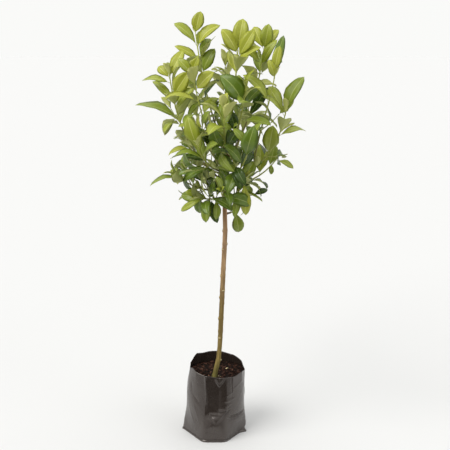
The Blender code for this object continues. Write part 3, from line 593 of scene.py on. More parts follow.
# %% The loose chips
# Each kind of chip: its number, colour and length
CHIPS = {
    "dark_chips": (300, (0.011, 0.006, 0.004), (0.006, 0.019)),
    "brown_chips": (150, (0.060, 0.027, 0.018), (0.005, 0.019)),
    "tan_chips": (22, (0.170, 0.090, 0.060), (0.004, 0.012)),
    "pale_chips": (3, (0.850, 0.740, 0.420), (0.009, 0.012)),
}
# Where the palest chips lie
PALE_PLACES = (Vector((0.050, 0.020)), Vector((0.054, 0.024)), Vector((0.021, -0.068)))
CHIP_BREADTH = (0.35, 0.60)
CHIP_THICKNESS = (0.12, 0.25)
# How far chips tilt, in radians, and how unevenly their corners stand out
CHIP_TILT = 0.28
CHIP_CORNERS = (0.65, 1.0)
# The middle of a chip lies this share of half its thickness above the bed
CHIP_RISE = 0.7
CHIP_ROUGHNESS, CHIP_GLOSS = 0.75, 0.12
# The share of the bed's area that chips are spread over, and how near the trunk they come
CHIP_AREA = 0.90
CHIPS_FROM_TRUNK = 0.020
CHIP_SEED = 41
BOX_FACES = ((0, 2, 3, 1), (4, 5, 7, 6), (0, 1, 5, 4), (2, 6, 7, 3), (0, 4, 6, 2), (1, 3, 7, 5))


def chip_points(chance, place, lengths):
    """The eight corners of one split chip, which lies flat with a little tilt."""
    length = chance.uniform(*lengths)
    half = Vector((1, chance.uniform(*CHIP_BREADTH), chance.uniform(*CHIP_THICKNESS))) * length / 2
    turn = Matrix.Rotation(chance.uniform(0, math.pi), 3, "Z")
    tilt = Matrix.Rotation(chance.gauss(0, CHIP_TILT), 3, "X")
    tilt = tilt @ Matrix.Rotation(chance.gauss(0, CHIP_TILT), 3, "Y")
    corners_of_box = [(x, y, z) for z in (-1, 1) for y in (-1, 1) for x in (-1, 1)]
    uneven = [[side * chance.uniform(*CHIP_CORNERS) for side in corner] for corner in corners_of_box]
    points = [turn @ tilt @ Vector([a * b for a, b in zip(corner, half)]) for corner in uneven]
    centre = Vector((place.x, place.y, soil_height(place.x, place.y) + half.z * CHIP_RISE))
    return [centre + point for point in points]


chance = random.Random(CHIP_SEED)
for name, (number, colour, lengths) in CHIPS.items():
    points, faces = [], []
    for index in range(number):
        angle = chance.uniform(0, 2 * math.pi)
        place = soil_edge(angle).xy * math.sqrt(chance.uniform(0.0, CHIP_AREA))
        if (place - TRUNK_FOOT).length < CHIPS_FROM_TRUNK:
            continue
        if name == "pale_chips" and index < len(PALE_PLACES):
            place = PALE_PLACES[index]
        faces += [[corner + len(points) for corner in face] for face in BOX_FACES]
        points += chip_points(chance, place, lengths)
    chip_mesh = bpy.data.meshes.new(name)
    chip_mesh.from_pydata(points, [], faces)
    chip_material = new_material(name, colour, CHIP_ROUGHNESS, CHIP_GLOSS)
    add_piece(name, chip_mesh, [chip_material], "mix", smooth=False)

# %% [markdown]
# ## The trunk
#
# The trunk is a single stem about 2 cm thick, with a slight lean and bow. Its bark is smooth and tan,
# greener at the foot and redder inside the head. Every few centimetres a ring and two scars are left
# where a pair of leaves once grew, and one scar of such a pair is made here. A tapered curve gives the
# stem, and its mesh is then pressed outwards where the scars and ridges are.

# %% A limb's centreline
class Axis:
    """A limb's centreline: close points, and a rule for its diameter by the share of its length."""

    def __init__(self, points, diameter):
        self.points = points
        self.diameter = diameter
        steps = [(b - a).length for a, b in zip(points, points[1:])]
        self.length = sum(steps)
        self.shares = [sum(steps[:i]) / self.length for i in range(len(points))]

    def span(self, share):
        """The piece of the centreline that holds this share, and how far along that piece it lies."""
        index = 0
        while index < len(self.shares) - 2 and share > self.shares[index + 1]:
            index += 1
        start, end = self.shares[index], self.shares[index + 1]
        return index, min(max((share - start) / (end - start), 0.0), 1.0)

    def place(self, share):
        index, along = self.span(share)
        return self.points[index].lerp(self.points[index + 1], along)

    def heading(self, share):
        index, _ = self.span(share)
        return (self.points[index + 1] - self.points[index]).normalized()


def evaluated_mesh(item):
    bpy.context.view_layer.update()
    graph = bpy.context.evaluated_depsgraph_get()
    return bpy.data.meshes.new_from_object(item.evaluated_get(graph))


# Points of a tube that are closer than this are one point
SAME_POINT = 1e-6


def tubes(name, limbs, sides_level):
    """Tapering round limbs, each a list of points with one of diameters, as one mesh of closed tubes."""
    curve = bpy.data.curves.new(name, "CURVE")
    curve.dimensions = "3D"
    curve.bevel_depth = 1.0
    curve.bevel_resolution = sides_level
    curve.use_fill_caps = True
    for points, diameters in limbs:
        spline = curve.splines.new("POLY")
        spline.points.add(len(points) - 1)
        for point, place, diameter in zip(spline.points, points, diameters):
            point.co = (*place, 1.0)
            point.radius = diameter / 2
    item = bpy.data.objects.new(name, curve)
    bpy.context.scene.collection.objects.link(item)
    mesh = evaluated_mesh(item)
    bpy.data.objects.remove(item)
    bpy.data.curves.remove(curve)
    shape = bmesh.new()
    shape.from_mesh(mesh)
    bmesh.ops.remove_doubles(shape, verts=shape.verts, dist=SAME_POINT)
    shape.to_mesh(mesh)
    shape.free()
    mesh.name = name
    return mesh


# %% The trunk's path and its relief
# Places that the centreline passes, from the mix up to the leader's end, with the diameter there
TRUNK_PATH = (
    ((0.001, -0.080, SOIL_TOP + SOIL_MOUND + GAP), 0.0230),
    ((0.004, -0.079, 0.280), 0.0195),
    ((0.019, -0.070, 0.345), 0.0190),
    ((0.028, -0.045, 0.500), 0.0182),
    ((0.037, -0.020, 0.690), 0.0165),
    ((0.045, -0.004, 0.860), 0.0145),
    ((0.042, 0.000, 0.985), 0.0132),
    ((0.048, 0.002, 1.050), 0.0115),
    ((0.056, -0.002, 1.185), 0.0075),
)
TRUNK_STEPS = 14
FLARE_CROWDING = 1.3
TRUNK_RINGS = 420
TRUNK_SIDES_LEVEL = 12
TRUNK_BURIED = 0.012
# Old leaf scars: height and side, in degrees
TRUNK_SCARS = (
    (0.334, 350), (0.424, 250), (0.501, 190), (0.586, 185), (0.614, 290), (0.673, 200),
    (0.778, 225), (0.801, 345), (0.854, 195), (0.560, 60), (0.700, 110), (0.450, 120),
)
# A scar's lip stands out and reaches up, in metres, and round the trunk, in radians. The hollow above it
# is set by its place above the scar, its height, its reach round the trunk and its share of the lip
SCAR_HEIGHT, SCAR_WIDTH, SCAR_REACH = 0.0022, 0.0055, 0.75
HOLLOW_ABOVE, HOLLOW_WIDTH, HOLLOW_REACH, HOLLOW_SHARE = 0.004, 0.0025, 0.4, 0.7
COLLAR_HEIGHT, COLLAR_WIDTH = 0.0006, 0.0070
# Further away than this a scar isn't felt
SCAR_ENDS_AT = 0.03
# The bark makes the upper trunk this much thicker than its solid, from this share of its length on
UPPER_FULLNESS, FULLER_FROM = 1.45, 0.12
# Ridges: how wide and how long they are, and how far they stand out, on a trunk of this radius
BARK_RIDGES = ((0.0030, 0.030, 0.00035), (0.0060, 0.120, 0.00045))
RIDGED_RADIUS = 0.01
# Points closer to the trunk's middle than this belong to its caps
CAP_RADIUS = 0.001


def trunk_axis():
    """A smooth curve through the trunk's named places."""
    places = [Vector(place) for place, _ in TRUNK_PATH]
    knots = [0.0]
    for a, b in zip(places, places[1:]):
        knots.append(knots[-1] + (b - a).length)
    slopes = []
    for index in range(len(places)):
        before, after = max(index - 1, 0), min(index + 1, len(places) - 1)
        slopes.append((places[after] - places[before]) / (knots[after] - knots[before]))

    def piece(reach):
        index = max(i for i in range(len(knots) - 1) if knots[i] <= reach)
        gap = knots[index + 1] - knots[index]
        return index, gap, (reach - knots[index]) / gap

    def smooth_place(reach):
        index, gap, t = piece(reach)
        return (
            places[index] * (2 * t**3 - 3 * t**2 + 1)
            + slopes[index] * gap * (t**3 - 2 * t**2 + t)
            + places[index + 1] * (3 * t**2 - 2 * t**3)
            + slopes[index + 1] * gap * (t**3 - t**2)
        )

    def diameter(share):
        index, _, t = piece(knots[-1] * min(max(share, 0.0), 1.0))
        return tapered(t, TRUNK_PATH[index][1], TRUNK_PATH[index + 1][1])

    # The first steps are short, where the root flare narrows
    shares = [(step / TRUNK_STEPS) ** FLARE_CROWDING for step in range(TRUNK_STEPS + 1)]
    return Axis([smooth_place(knots[-1] * share) for share in shares], diameter)


def bark_relief(height, angle):
    """How far the bark stands out here: scars with their lips, faint collars and long ridges."""
    relief = 0.0
    for scar, side in TRUNK_SCARS:
        up = height - scar
        if abs(up) > SCAR_ENDS_AT:
            continue
        round_off = math.radians(degrees_from(side, angle))
        lip = bell(up, SCAR_WIDTH) * bell(round_off, SCAR_REACH)
        hollow = bell(up - HOLLOW_ABOVE, HOLLOW_WIDTH) * bell(round_off, HOLLOW_REACH)
        relief += SCAR_HEIGHT * (lip - HOLLOW_SHARE * hollow) + COLLAR_HEIGHT * bell(up, COLLAR_WIDTH)
    across, back = math.cos(angle) * RIDGED_RADIUS, math.sin(angle) * RIDGED_RADIUS
    for wide, long, depth in BARK_RIDGES:
        relief += depth * noise.noise(Vector((across / wide, back / wide, height / long)))
    return relief


# %% Make the trunk
trunk_line = trunk_axis()
shares = [ring / TRUNK_RINGS for ring in range(TRUNK_RINGS + 1)]
points = [trunk_line.place(share) for share in shares]
fullness = [tapered(share, 1.0, UPPER_FULLNESS, FULLER_FROM, 1.0) for share in shares]
diameters = [trunk_line.diameter(share) * full for share, full in zip(shares, fullness)]
points.insert(0, points[0] - UP * TRUNK_BURIED)
diameters.insert(0, diameters[0])
trunk_mesh = tubes("trunk_with_bark", [(points, diameters)], TRUNK_SIDES_LEVEL)
heights = [point.z for point in points]
for vertex in trunk_mesh.vertices:
    nearest = min(bisect.bisect_left(heights, vertex.co.z), len(points) - 1)
    outward = vertex.co - points[nearest]
    outward.z = 0.0
    if outward.length > CAP_RADIUS:
        angle = math.atan2(outward.y, outward.x)
        vertex.co += outward.normalized() * bark_relief(vertex.co.z, angle)

# %% The bark of the trunk
# Object coordinates give the height, so one ramp turns the colour from green at the foot to tan and
# then to a red brown in the head. Streaks come from noise that is stretched along the stem.
BARK_BY_HEIGHT = (
    (0.00, (0.180, 0.160, 0.042)),
    (0.10, (0.225, 0.165, 0.052)),
    (0.35, (0.215, 0.150, 0.050)),
    (0.55, (0.430, 0.275, 0.140)),
    (0.75, (0.500, 0.310, 0.175)),
    (0.88, (0.380, 0.200, 0.120)),
    (1.00, (0.160, 0.085, 0.050)),
)
BARK_FOOT, BARK_TOP = 0.26, 1.08
STREAK_SCALE = (120.0, 120.0, 9.0)
STREAK_DARK, STREAK_LIGHT = 0.55, 1.25
STREAKS, STREAK_BUMP = (1.0, 4.0), (0.5, 0.0008)
BARK_FINISH = ((0.3, 0.2, 0.1), 0.80, 0.20)

bark = new_material("trunk_bark", *BARK_FINISH)
tree, shader = workings(bark)
spot = place_on(tree)
along_stem = add_node(tree, "Mapping", {"Vector": spot, "Scale": STREAK_SCALE}).outputs["Vector"]
streaks = add_noise(tree, along_stem, *STREAKS)
colour = add_ramp(tree, ranged(tree, height_in(tree, spot), BARK_FOOT, BARK_TOP), BARK_BY_HEIGHT)
add_shaded_colour(tree, shader, colour, streaks, STREAK_DARK, STREAK_LIGHT)
add_bump(tree, shader, streaks, *STREAK_BUMP)
add_piece("trunk_with_bark", trunk_mesh, [bark], "bark", ["trunk"])

# %% The pale cork of the leaf scars
# Each scar is healed by a lip of pale cork, with a thin dark brown line just under it that is painted shadow
# of the lip. Both are
# flat lenses, sunk into the bark: finish, height above the scar, and half sizes outwards, across and up
SCAR_PARTS = {
    "cork_lips": (((0.520, 0.440, 0.240), 0.8, 0.2), 0.0, (0.0030, 0.0062, 0.0030)),
    # Painted shadow: a thin dark brown lens just under each cork lip
    "scar_clefts": (((0.110, 0.062, 0.030), 0.8, 0.2), -0.0034, (0.0026, 0.0052, 0.0013)),
}
LENS_SUBDIVISIONS = 2

for name, (finish, above, half_sizes) in SCAR_PARTS.items():
    lenses = bmesh.new()
    for height, side in TRUNK_SCARS:
        index = bisect.bisect_left(heights, height + above)
        turn = Matrix.Rotation(math.radians(side), 4, "Z")
        outward = turn @ Vector((diameters[index] / 2, 0.0, 0.0))
        shape = Matrix.Translation(points[index] + outward) @ turn @ Matrix.Diagonal((*half_sizes, 1.0))
        bmesh.ops.create_icosphere(lenses, subdivisions=LENS_SUBDIVISIONS, radius=1.0, matrix=shape)
    add_piece(name, mesh_of(lenses, name), [new_material(name, *finish)], "bark")

# %% [markdown]
# ## The boughs and shoots
#
# Each shoot of the head is one limb: it leaves the trunk slanting, and turns up to its leafy tip. Its
# inner stretch is bare bough, and its outer stretch is the stem that carries the leaves. A cubic curve
# with its two handles set from the shoot's lean draws such a limb in one stroke.

# %% The shoots of the head
# A shoot: where it forks off (parent limb and share along it), its tip, how far out and up it leans
# before it turns up, the share of it that is bare bough, its pairs of leaves and their length, the turn
# of its first pair in degrees, its side twigs, its tone, and the leaves that set the crown's outline: each
# with its share along the stem, its tip, its width factor and its roll towards the front in degrees
Shoot = namedtuple("Shoot", "name parent fork tip lean bare pairs length turn twigs tone reach")

SHOOTS = (
    Shoot("far_left", "trunk", 0.845, (-0.168, 0.000, 1.457), (0.72, 0.30), 0.58, 4, 0.127, 165,
          1, "young",
          ((0.20, (-0.297, -0.020, 1.360), 0.9, 35),
           (0.88, (-0.274, 0.000, 1.450), 1.0, 40),
           (1.00, (-0.116, 0.020, 1.557), 1.0, 60),
           (0.64, (-0.094, -0.050, 1.478), 1.2, 80),
           (0.35, (-0.081, -0.060, 1.419), 0.9, 60),
           (0.97, (-0.214, 0.025, 1.496), 1.2, 80),
           (0.52, (-0.237, 0.045, 1.446), 0.6, 60))),
    Shoot("mid_left", "trunk", 0.930, (-0.076, -0.110, 1.480), (0.55, 0.25), 0.34, 5, 0.124, 20,
          1, "young",
          ((0.97, (-0.127, -0.120, 1.530), 1.1, 75),
           (0.75, (-0.004, -0.140, 1.482), 1.3, 75),
           (1.00, (-0.055, -0.125, 1.534), 1.3, 85))),
    Shoot("left_leader", "trunk", 0.970, (-0.070, 0.080, 1.618), (0.50, 0.28), 0.36, 6, 0.130, 60,
          1, "young",
          ((1.00, (-0.050, 0.080, 1.703), 1.3, 85),
           (0.84, (0.017, 0.070, 1.658), 1.0, 60),
           (0.84, (-0.153, 0.085, 1.659), 0.9, 50),
           (0.70, (-0.015, 0.120, 1.603), 0.9, 70),
           (0.50, (0.004, 0.050, 1.563), 1.1, 70),
           (0.66, (-0.150, 0.060, 1.574), 0.8, 60))),
    Shoot("top_centre", "trunk", 1.000, (0.093, -0.020, 1.560), (0.30, 0.30), 0.25, 6, 0.127, 0,
          1, "young",
          ((1.00, (0.112, -0.020, 1.674), 1.2, 85),
           (0.93, (0.033, -0.020, 1.637), 1.2, 70),
           (0.85, (0.171, -0.060, 1.574), 1.1, 60),
           (0.90, (0.148, -0.055, 1.632), 1.0, 75))),
    Shoot("top_right", "trunk", 0.950, (0.196, 0.085, 1.557), (0.55, 0.25), 0.36, 6, 0.130, 30,
          1, "young",
          ((1.00, (0.157, 0.110, 1.646), 1.1, 80),
           (1.00, (0.213, 0.060, 1.654), 1.2, 85),
           (0.98, (0.253, 0.105, 1.635), 0.9, 60),
           (0.80, (0.105, 0.030, 1.573), 1.1, 60),
           (0.78, (0.236, 0.030, 1.595), 0.7, 65),
           (0.06, (0.206, 0.020, 1.414), 0.65, 80))),
    Shoot("right_upper", "right_outer", 0.330, (0.228, -0.100, 1.462), (0.20, 0.42), 0.35, 3, 0.130, 40,
          1, "middle",
          ((1.00, (0.246, -0.100, 1.575), 0.75, 85),
           (0.93, (0.264, -0.055, 1.616), 0.5, 80),
           (0.98, (0.206, -0.125, 1.524), 1.0, 80))),
    Shoot("right_outer", "trunk", 0.852, (0.277, -0.020, 1.322), (0.74, 0.24), 0.45, 3, 0.127, 70,
          1, "middle",
          ((0.98, (0.343, -0.020, 1.460), 0.9, 35),
           (0.93, (0.195, -0.060, 1.393), 1.0, 40),
           (0.55, (0.360, 0.020, 1.257), 0.9, 30),
           (0.99, (0.213, 0.035, 1.425), 0.9, 80),
           (0.15, (0.226, -0.080, 1.278), 1.1, 88))),
    Shoot("right_lower", "trunk", 0.828, (0.255, 0.120, 1.125), (0.60, 0.10), 0.40, 1, 0.105, 10,
          0, "old",
          ((0.95, (0.323, 0.120, 1.085), 1.0, 60),
           (0.80, (0.230, 0.090, 1.066), 1.2, 80),
           (0.35, (0.184, 0.080, 1.181), 1.2, 85),
           (0.70, (0.245, 0.100, 1.183), 1.2, 85))),
    Shoot("front_right", "trunk", 0.875, (0.135, -0.215, 1.230), (0.65, 0.20), 0.40, 5, 0.127, 50,
          1, "old",
          ((0.62, (0.147, -0.262, 1.285), 1.0, 90),)),
    Shoot("lower_right", "trunk", 0.790, (0.117, -0.085, 1.065), (0.60, 0.05), 0.38, 4, 0.115, 30,
          1, "old",
          ((0.97, (0.125, -0.100, 0.936), 0.8, 85),
           (0.25, (0.106, -0.060, 0.973), 0.8, 80),
           (0.50, (0.081, -0.095, 0.927), 0.7, 75),
           (0.80, (0.154, -0.070, 1.024), 1.0, 75))),
    Shoot("lower_left", "trunk", 0.785, (-0.050, -0.075, 1.000), (0.60, -0.05), 0.38, 4, 0.113, 60,
          1, "old",
          ((0.80, (-0.132, -0.050, 0.945), 0.6, 60),
           (0.50, (-0.030, -0.085, 0.905), 1.0, 75),
           (0.30, (0.012, -0.080, 0.903), 0.9, 75))),
    Shoot("left_low", "trunk", 0.815, (-0.135, -0.030, 1.075), (0.60, 0.00), 0.38, 4, 0.118, 0, 1, "old",
          ((0.85, (-0.246, -0.060, 1.060), 0.8, 20),)),
    Shoot("left_mid", "trunk", 0.880, (-0.105, 0.110, 1.190), (0.62, 0.15), 0.38, 4, 0.119, 45, 1, "old",
          ((0.60, (-0.175, 0.060, 1.136), 0.9, 30),
           (0.80, (-0.188, 0.110, 1.150), 0.9, 50))),
    Shoot("front_left", "trunk", 0.897, (-0.055, -0.205, 1.215), (0.65, 0.20), 0.38, 5, 0.122, 20,
          1, "middle",
          ((1.00, (-0.090, -0.225, 1.325), 1.1, 85),)),
    Shoot("front_centre", "trunk", 0.915, (0.040, -0.185, 1.345), (0.60, 0.25), 0.36, 5, 0.127, 75,
          1, "middle",
          ()),
    Shoot("front_low", "trunk", 0.805, (0.030, -0.200, 1.050), (0.65, 0.00), 0.38, 4, 0.115, 15, 1, "old",
          ()),
    Shoot("centre", "trunk", 0.985, (0.120, -0.110, 1.420), (0.55, 0.25), 0.30, 5, 0.127, 35, 1, "middle",
          ((0.70, (0.032, -0.120, 1.470), 1.3, 75),)),
    Shoot("back_left", "trunk", 0.900, (-0.090, 0.215, 1.370), (0.62, 0.22), 0.38, 5, 0.124, 65,
          1, "middle",
          ()),
    Shoot("back_right", "trunk", 0.920, (0.135, 0.230, 1.350), (0.62, 0.22), 0.38, 5, 0.124, 25,
          1, "middle",
          ()),
    Shoot("back_top", "trunk", 0.943, (0.045, 0.145, 1.490), (0.55, 0.25), 0.34, 5, 0.124, 55, 1, "young",
          ()),
    Shoot("back_low", "trunk", 0.820, (0.050, 0.205, 1.090), (0.65, 0.05), 0.38, 5, 0.118, 5, 1, "old",
          ()),
    Shoot("low_spur", "trunk", 0.715, (0.086, 0.040, 0.925), (0.60, 0.10), 0.45, 1, 0.085, 30, 0, "old",
          ((0.95, (0.100, 0.052, 0.832), 1.2, 85),)),
)


# %% The limbs' centrelines
BOUGH_DIAMETER = 0.0078
# A bough is at most this share of its parent's diameter at the fork
THICKEST_FORK = 0.8
STEM_DIAMETER = 0.0054
STEM_TIP_DIAMETER = 0.0036
TWIG_DIAMETER = 0.0036
TWIG_TIP_DIAMETER = 0.0026
BOUGH_SIDES_LEVEL = 1
TWIG_SIDES_LEVEL = 0
BOUGH_STEPS = 4
STEM_STEPS = 4
TWIG_STEPS = 2
LIMB_STEPS = 24
TWIG_UPTURN = 0.25
# A limb has done this share of its rise, and all but this share of its lean, when it turns up
LATE_RISE = 0.6
LATE_LEAN = 0.4


def limb_axis(shoot, parent):
    """The whole limb, from its parent's centreline to its shoot tip: out first, and then up."""
    start = parent.place(shoot.fork)
    tip = Vector(shoot.tip)
    out, up = shoot.lean
    across = Vector((tip.x - start.x, tip.y - start.y, 0.0))
    rise = Vector((0.0, 0.0, tip.z - start.z))
    near_start = start + across * out + rise * up
    near_tip = start + across * (1 - LATE_LEAN * (1 - out)) + rise * LATE_RISE
    points = []
    for step in range(LIMB_STEPS + 1):
        t = step / LIMB_STEPS
        s = 1 - t
        points.append(start * s**3 + near_start * 3 * s * s * t + near_tip * 3 * s * t * t + tip * t**3)

    thickest = min(BOUGH_DIAMETER, THICKEST_FORK * parent.diameter(shoot.fork))

    def diameter(share):
        if share < shoot.bare:
            return tapered(share, thickest, STEM_DIAMETER, 0.0, shoot.bare)
        return tapered(share, STEM_DIAMETER, STEM_TIP_DIAMETER, shoot.bare, 1.0)

    return Axis(points, diameter)


def twig_axis(root, way, length):
    """A side twig, which leaves its stem slanting and turns up a little."""
    middle = root + way * length * 0.5
    end = root + way * length + Vector((0.0, 0.0, TWIG_UPTURN * length))
    points = []
    for step in range(TWIG_STEPS + 1):
        t = step / TWIG_STEPS
        points.append(root * (1 - t) ** 2 + middle * 2 * t * (1 - t) + end * t * t)
    return Axis(points, lambda share: tapered(share, TWIG_DIAMETER, TWIG_TIP_DIAMETER))


def stretch(axis, first, last, steps, grow=0.0):
    """Points and diameters of one stretch of a limb."""
    shares = [first + (last - first) * step / steps for step in range(steps + 1)]
    return [axis.place(share) for share in shares], [axis.diameter(share) + 2 * grow for share in shares]


# %% [markdown]
# ## The rule of growth
#
# Viburnum leaves stand in pairs, each pair turned a quarter round from the last. Young leaves at the tip
# stand up, small and pale, and older ones spread, droop and darken. The rule below draws each leaf from
# its age and a seeded chance, and leaves one out where it would cut through what has grown already. It
# is the rule of the solids, with the same seeds, so these leaves lie where theirs do.

# %% The sizes of a leaf
LEAF_WIDTH = 0.44
LEAF_THICKNESS = 0.016
PETIOLE_WIDTH = 0.0020
PETIOLE_THICKNESS = 0.0017
PETIOLE_SHARE = 0.11
# Where the blade is tested for room without its petiole, it starts a little further up
TESTED_BLADE_SHARE = 0.121
# Outline of the blade: share along the leaf, and half width there as a share of the full width
BLADE_STATIONS = ((0.50, 0.50), (0.80, 0.36))
LEAF_CUP = 0.22
REACH_LEAF_ARCH = 0.07
# How much the upper side of a leaf looks to the sky, against along its stem
REACH_LEAF_UPWARDNESS = 0.8
RULE_LEAF_UPWARDNESS = 0.4
# Slant from the stem in degrees, and rise of the arch as a share of the length, in youth and age
YOUNG_SLANT, OLD_SLANT = 24, 72
YOUNG_ARCH, OLD_ARCH = 0.03, 0.11
DROOP = 0.35
# Chance spreads, in radians either way, and then as factors
TURN_SPREAD = 0.30
SLANT_SPREAD = 0.20
ROLL_SPREAD = 0.45
DROOP_FACTORS = (0.4, 1.2)
LENGTH_FACTORS = (0.86, 1.12)
WIDTH_FACTORS = (0.90, 1.15)
ARCH_FACTORS = (0.6, 1.3)
YOUNGEST_LENGTH = 0.62
GROWN_AT_AGE = 0.35
# A heading with more rise than this counts as upright
NEARLY_UPRIGHT = 0.95

Leaf = namedtuple("Leaf", "root way face length width arch cup")
GrownLeaf = namedtuple("GrownLeaf", "leaf age shoot inner")


def leaf_shape(root, way, face, length, width, arch, cup, grow=0.0, blade_only=False):
    """Points and faces of one leaf: a three-sided petiole, and a folded blade that arches to its face."""
    side = way.cross(face)

    def ring(share, half_width, half_thickness, lift):
        middle = root + way * (length * share) + face * (4 * arch * length * share * (1 - share))
        return [
            middle - side * (half_width + grow) + face * lift,
            middle - face * (half_thickness + grow),
            middle + side * (half_width + grow) + face * lift,
            middle + face * (half_thickness + grow),
        ]

    petiole = (PETIOLE_WIDTH / 2, PETIOLE_THICKNESS / 2, PETIOLE_THICKNESS / 2)
    foot_share, neck_share = (PETIOLE_SHARE, TESTED_BLADE_SHARE) if blade_only else (0.0, PETIOLE_SHARE)
    points = ring(foot_share, *petiole)[:3] + ring(neck_share, *petiole)[:3]
    for share, half in BLADE_STATIONS:
        points += ring(share, half * width, LEAF_THICKNESS * length / 2, cup * half * width)
    points.append(root + way * (length + grow))
    # Points 0 to 2 are the petiole's foot and 3 to 5 its neck, and then come the two rings and the tip
    faces = [(0, 2, 1), (0, 1, 4, 3), (1, 2, 5, 4), (2, 0, 3, 5)]
    faces += [(3, 4, 7), (3, 7, 6), (4, 5, 8), (4, 8, 7), (5, 3, 9), (5, 9, 8), (3, 6, 9)]
    middle_ring, last_ring, tip = 6, 10, 14
    for corner in range(4):
        after = (corner + 1) % 4
        a, b, c, d = middle_ring + corner, middle_ring + after, last_ring + after, last_ring + corner
        faces += [(a, b, c), (a, c, d), (d, c, tip)]
    return points, faces


def square_to(way, towards):
    """The part of a direction that is square to a leaf."""
    return towards - way * towards.dot(way)


def facing(way, towards, roll):
    """Where the upper side of a leaf faces: square to the leaf, near this direction, and then rolled."""
    face = square_to(way, towards).normalized()
    side = way.cross(face)
    if side.y > 0:
        side = -side
    return face * math.cos(roll) + side * math.sin(roll)


def outward_from(heading, turn):
    """The direction square to a stem's heading, at this turn about it."""
    across = heading.cross(UP if abs(heading.z) < NEARLY_UPRIGHT else AWAY).normalized()
    return Matrix.Rotation(turn, 3, heading) @ across


def reach_leaf(axis, first, entry):
    """A leaf that runs from its share of the stem to a given tip."""
    share, tip, width_factor, roll = entry
    along = first + (1 - first) * share
    root = axis.place(along)
    way = Vector(tip) - root
    length = way.length
    way.normalize()
    skyward = square_to(way, axis.heading(along) + UP * REACH_LEAF_UPWARDNESS)
    turn = math.radians(roll)
    face = (skyward * math.cos(turn) - square_to(way, AWAY) * math.sin(turn)).normalized()
    return Leaf(root, way, face, length, length * LEAF_WIDTH * width_factor, REACH_LEAF_ARCH, LEAF_CUP)


def rule_leaf(axis, share, turn, age, length, chance):
    """A leaf of the rule: upright near the shoot's tip, and spreading and drooping further down."""
    heading = axis.heading(share)
    outward = outward_from(heading, turn + chance.uniform(-1, 1) * TURN_SPREAD)
    slant = math.radians(tapered(age, YOUNG_SLANT, OLD_SLANT)) + chance.uniform(-1, 1) * SLANT_SPREAD
    way = heading * math.cos(slant) + outward * math.sin(slant)
    way.z -= DROOP * age * chance.uniform(*DROOP_FACTORS)
    way.normalize()
    face = facing(way, heading + UP * RULE_LEAF_UPWARDNESS, chance.uniform(-1, 1) * ROLL_SPREAD)
    length *= chance.uniform(*LENGTH_FACTORS)
    width = length * LEAF_WIDTH * chance.uniform(*WIDTH_FACTORS)
    arch = tapered(age, YOUNG_ARCH, OLD_ARCH) * chance.uniform(*ARCH_FACTORS)
    return Leaf(axis.place(share), way, face, length, width, arch, LEAF_CUP)


def length_at(age):
    """Leaf length by age, as a share of the shoot's leaf length: the youngest are still growing."""
    return YOUNGEST_LENGTH + (1 - YOUNGEST_LENGTH) * min(age / GROWN_AT_AGE, 1.0)


# %% What has grown so far
CLEARANCE = 0.0012


def corners(points):
    """The lowest and the highest corner of the box that holds these points."""
    return [Vector([pick(point[axis] for point in points) for axis in range(3)]) for pick in (min, max)]


def apart(low, high, other_low, other_high):
    """Whether two boxes lie clear of each other by more than the thickest limb."""
    room = BOUGH_DIAMETER
    return any(
        low[axis] > other_high[axis] + room or other_low[axis] > high[axis] + room for axis in range(3)
    )


def limb_body(axis, first, last, steps, level):
    """One stretch of a limb for tests of room: its faces, and the corners of its box."""
    points, diameters = stretch(axis, first, last, steps, grow=CLEARANCE)
    mesh = tubes("limb", [(points, diameters)], level)
    places = [vertex.co for vertex in mesh.vertices]
    faces = BVHTree.FromPolygons(places, [tuple(face.vertices) for face in mesh.polygons])
    bpy.data.meshes.remove(mesh)
    return faces, *corners(points)


def leaf_body(leaf, grow=0.0):
    """A leaf for tests of room: all its faces, those of its blade, and the corners of its box."""
    points, faces = leaf_shape(*leaf, grow=grow)
    blade_faces = BVHTree.FromPolygons(*leaf_shape(*leaf, blade_only=True))
    return BVHTree.FromPolygons(points, faces), blade_faces, *corners(points)


class Crown:
    """What has grown so far, so that a leaf or twig that would touch another piece can be left out."""

    def __init__(self):
        self.limbs = []
        self.leaves = []

    def add_limb(self, owner, axis, first, last, steps, level):
        self.limbs.append((owner, *limb_body(axis, first, last, steps, level)))

    def add_leaf(self, owner, leaf):
        self.leaves.append((owner, *leaf_body(leaf)))

    def has_room(self, owner, leaf):
        whole, blade_only, low, high = leaf_body(leaf, CLEARANCE)
        for other, faces, *box in self.limbs:
            tested = blade_only if other == owner else whole
            if not apart(low, high, *box) and tested.overlap(faces):
                return False
        for other, other_whole, other_blade, *box in self.leaves:
            tested, against = (blade_only, other_blade) if other == owner else (whole, other_whole)
            if not apart(low, high, *box) and tested.overlap(against):
                return False
        return True

    def twig_has_room(self, owner, axis):
        whole, low, high = limb_body(axis, 0.0, 1.0, TWIG_STEPS, TWIG_SIDES_LEVEL)
        for other, faces, *box in (*self.limbs, *(item[:2] + item[3:] for item in self.leaves)):
            if other != owner and not apart(low, high, *box) and whole.overlap(faces):
                return False
        return not any(whole.overlap(item[2]) for item in self.leaves if item[0] == owner)


# %% Pairs of leaves and side twigs
# Pairs of leaves: shares of the stem at the first and last pair, and how they crowd towards the tip
FIRST_PAIR, LAST_PAIR = 0.07, 0.985
PAIR_CROWDING = 0.85
FIRST_TWIG, TWIG_SPACING = 0.10, 0.26
TWIG_SLANT = (40, 65)
TWIG_LENGTH = (0.060, 0.095)
TWIG_BARE = 0.35
TWIG_PAIRS = 2
TWIG_LEAF_SHARE = 0.78
TRIES = 7
# The rule keeps to the crown's real outline by this egg-shaped room: its middle and half sizes, and how
# much narrower it is below its middle
CROWN_ROOM = (Vector((0.035, 0.0, 1.265)), Vector((0.300, 0.290, 0.430)), 1.12)
SEED = 7


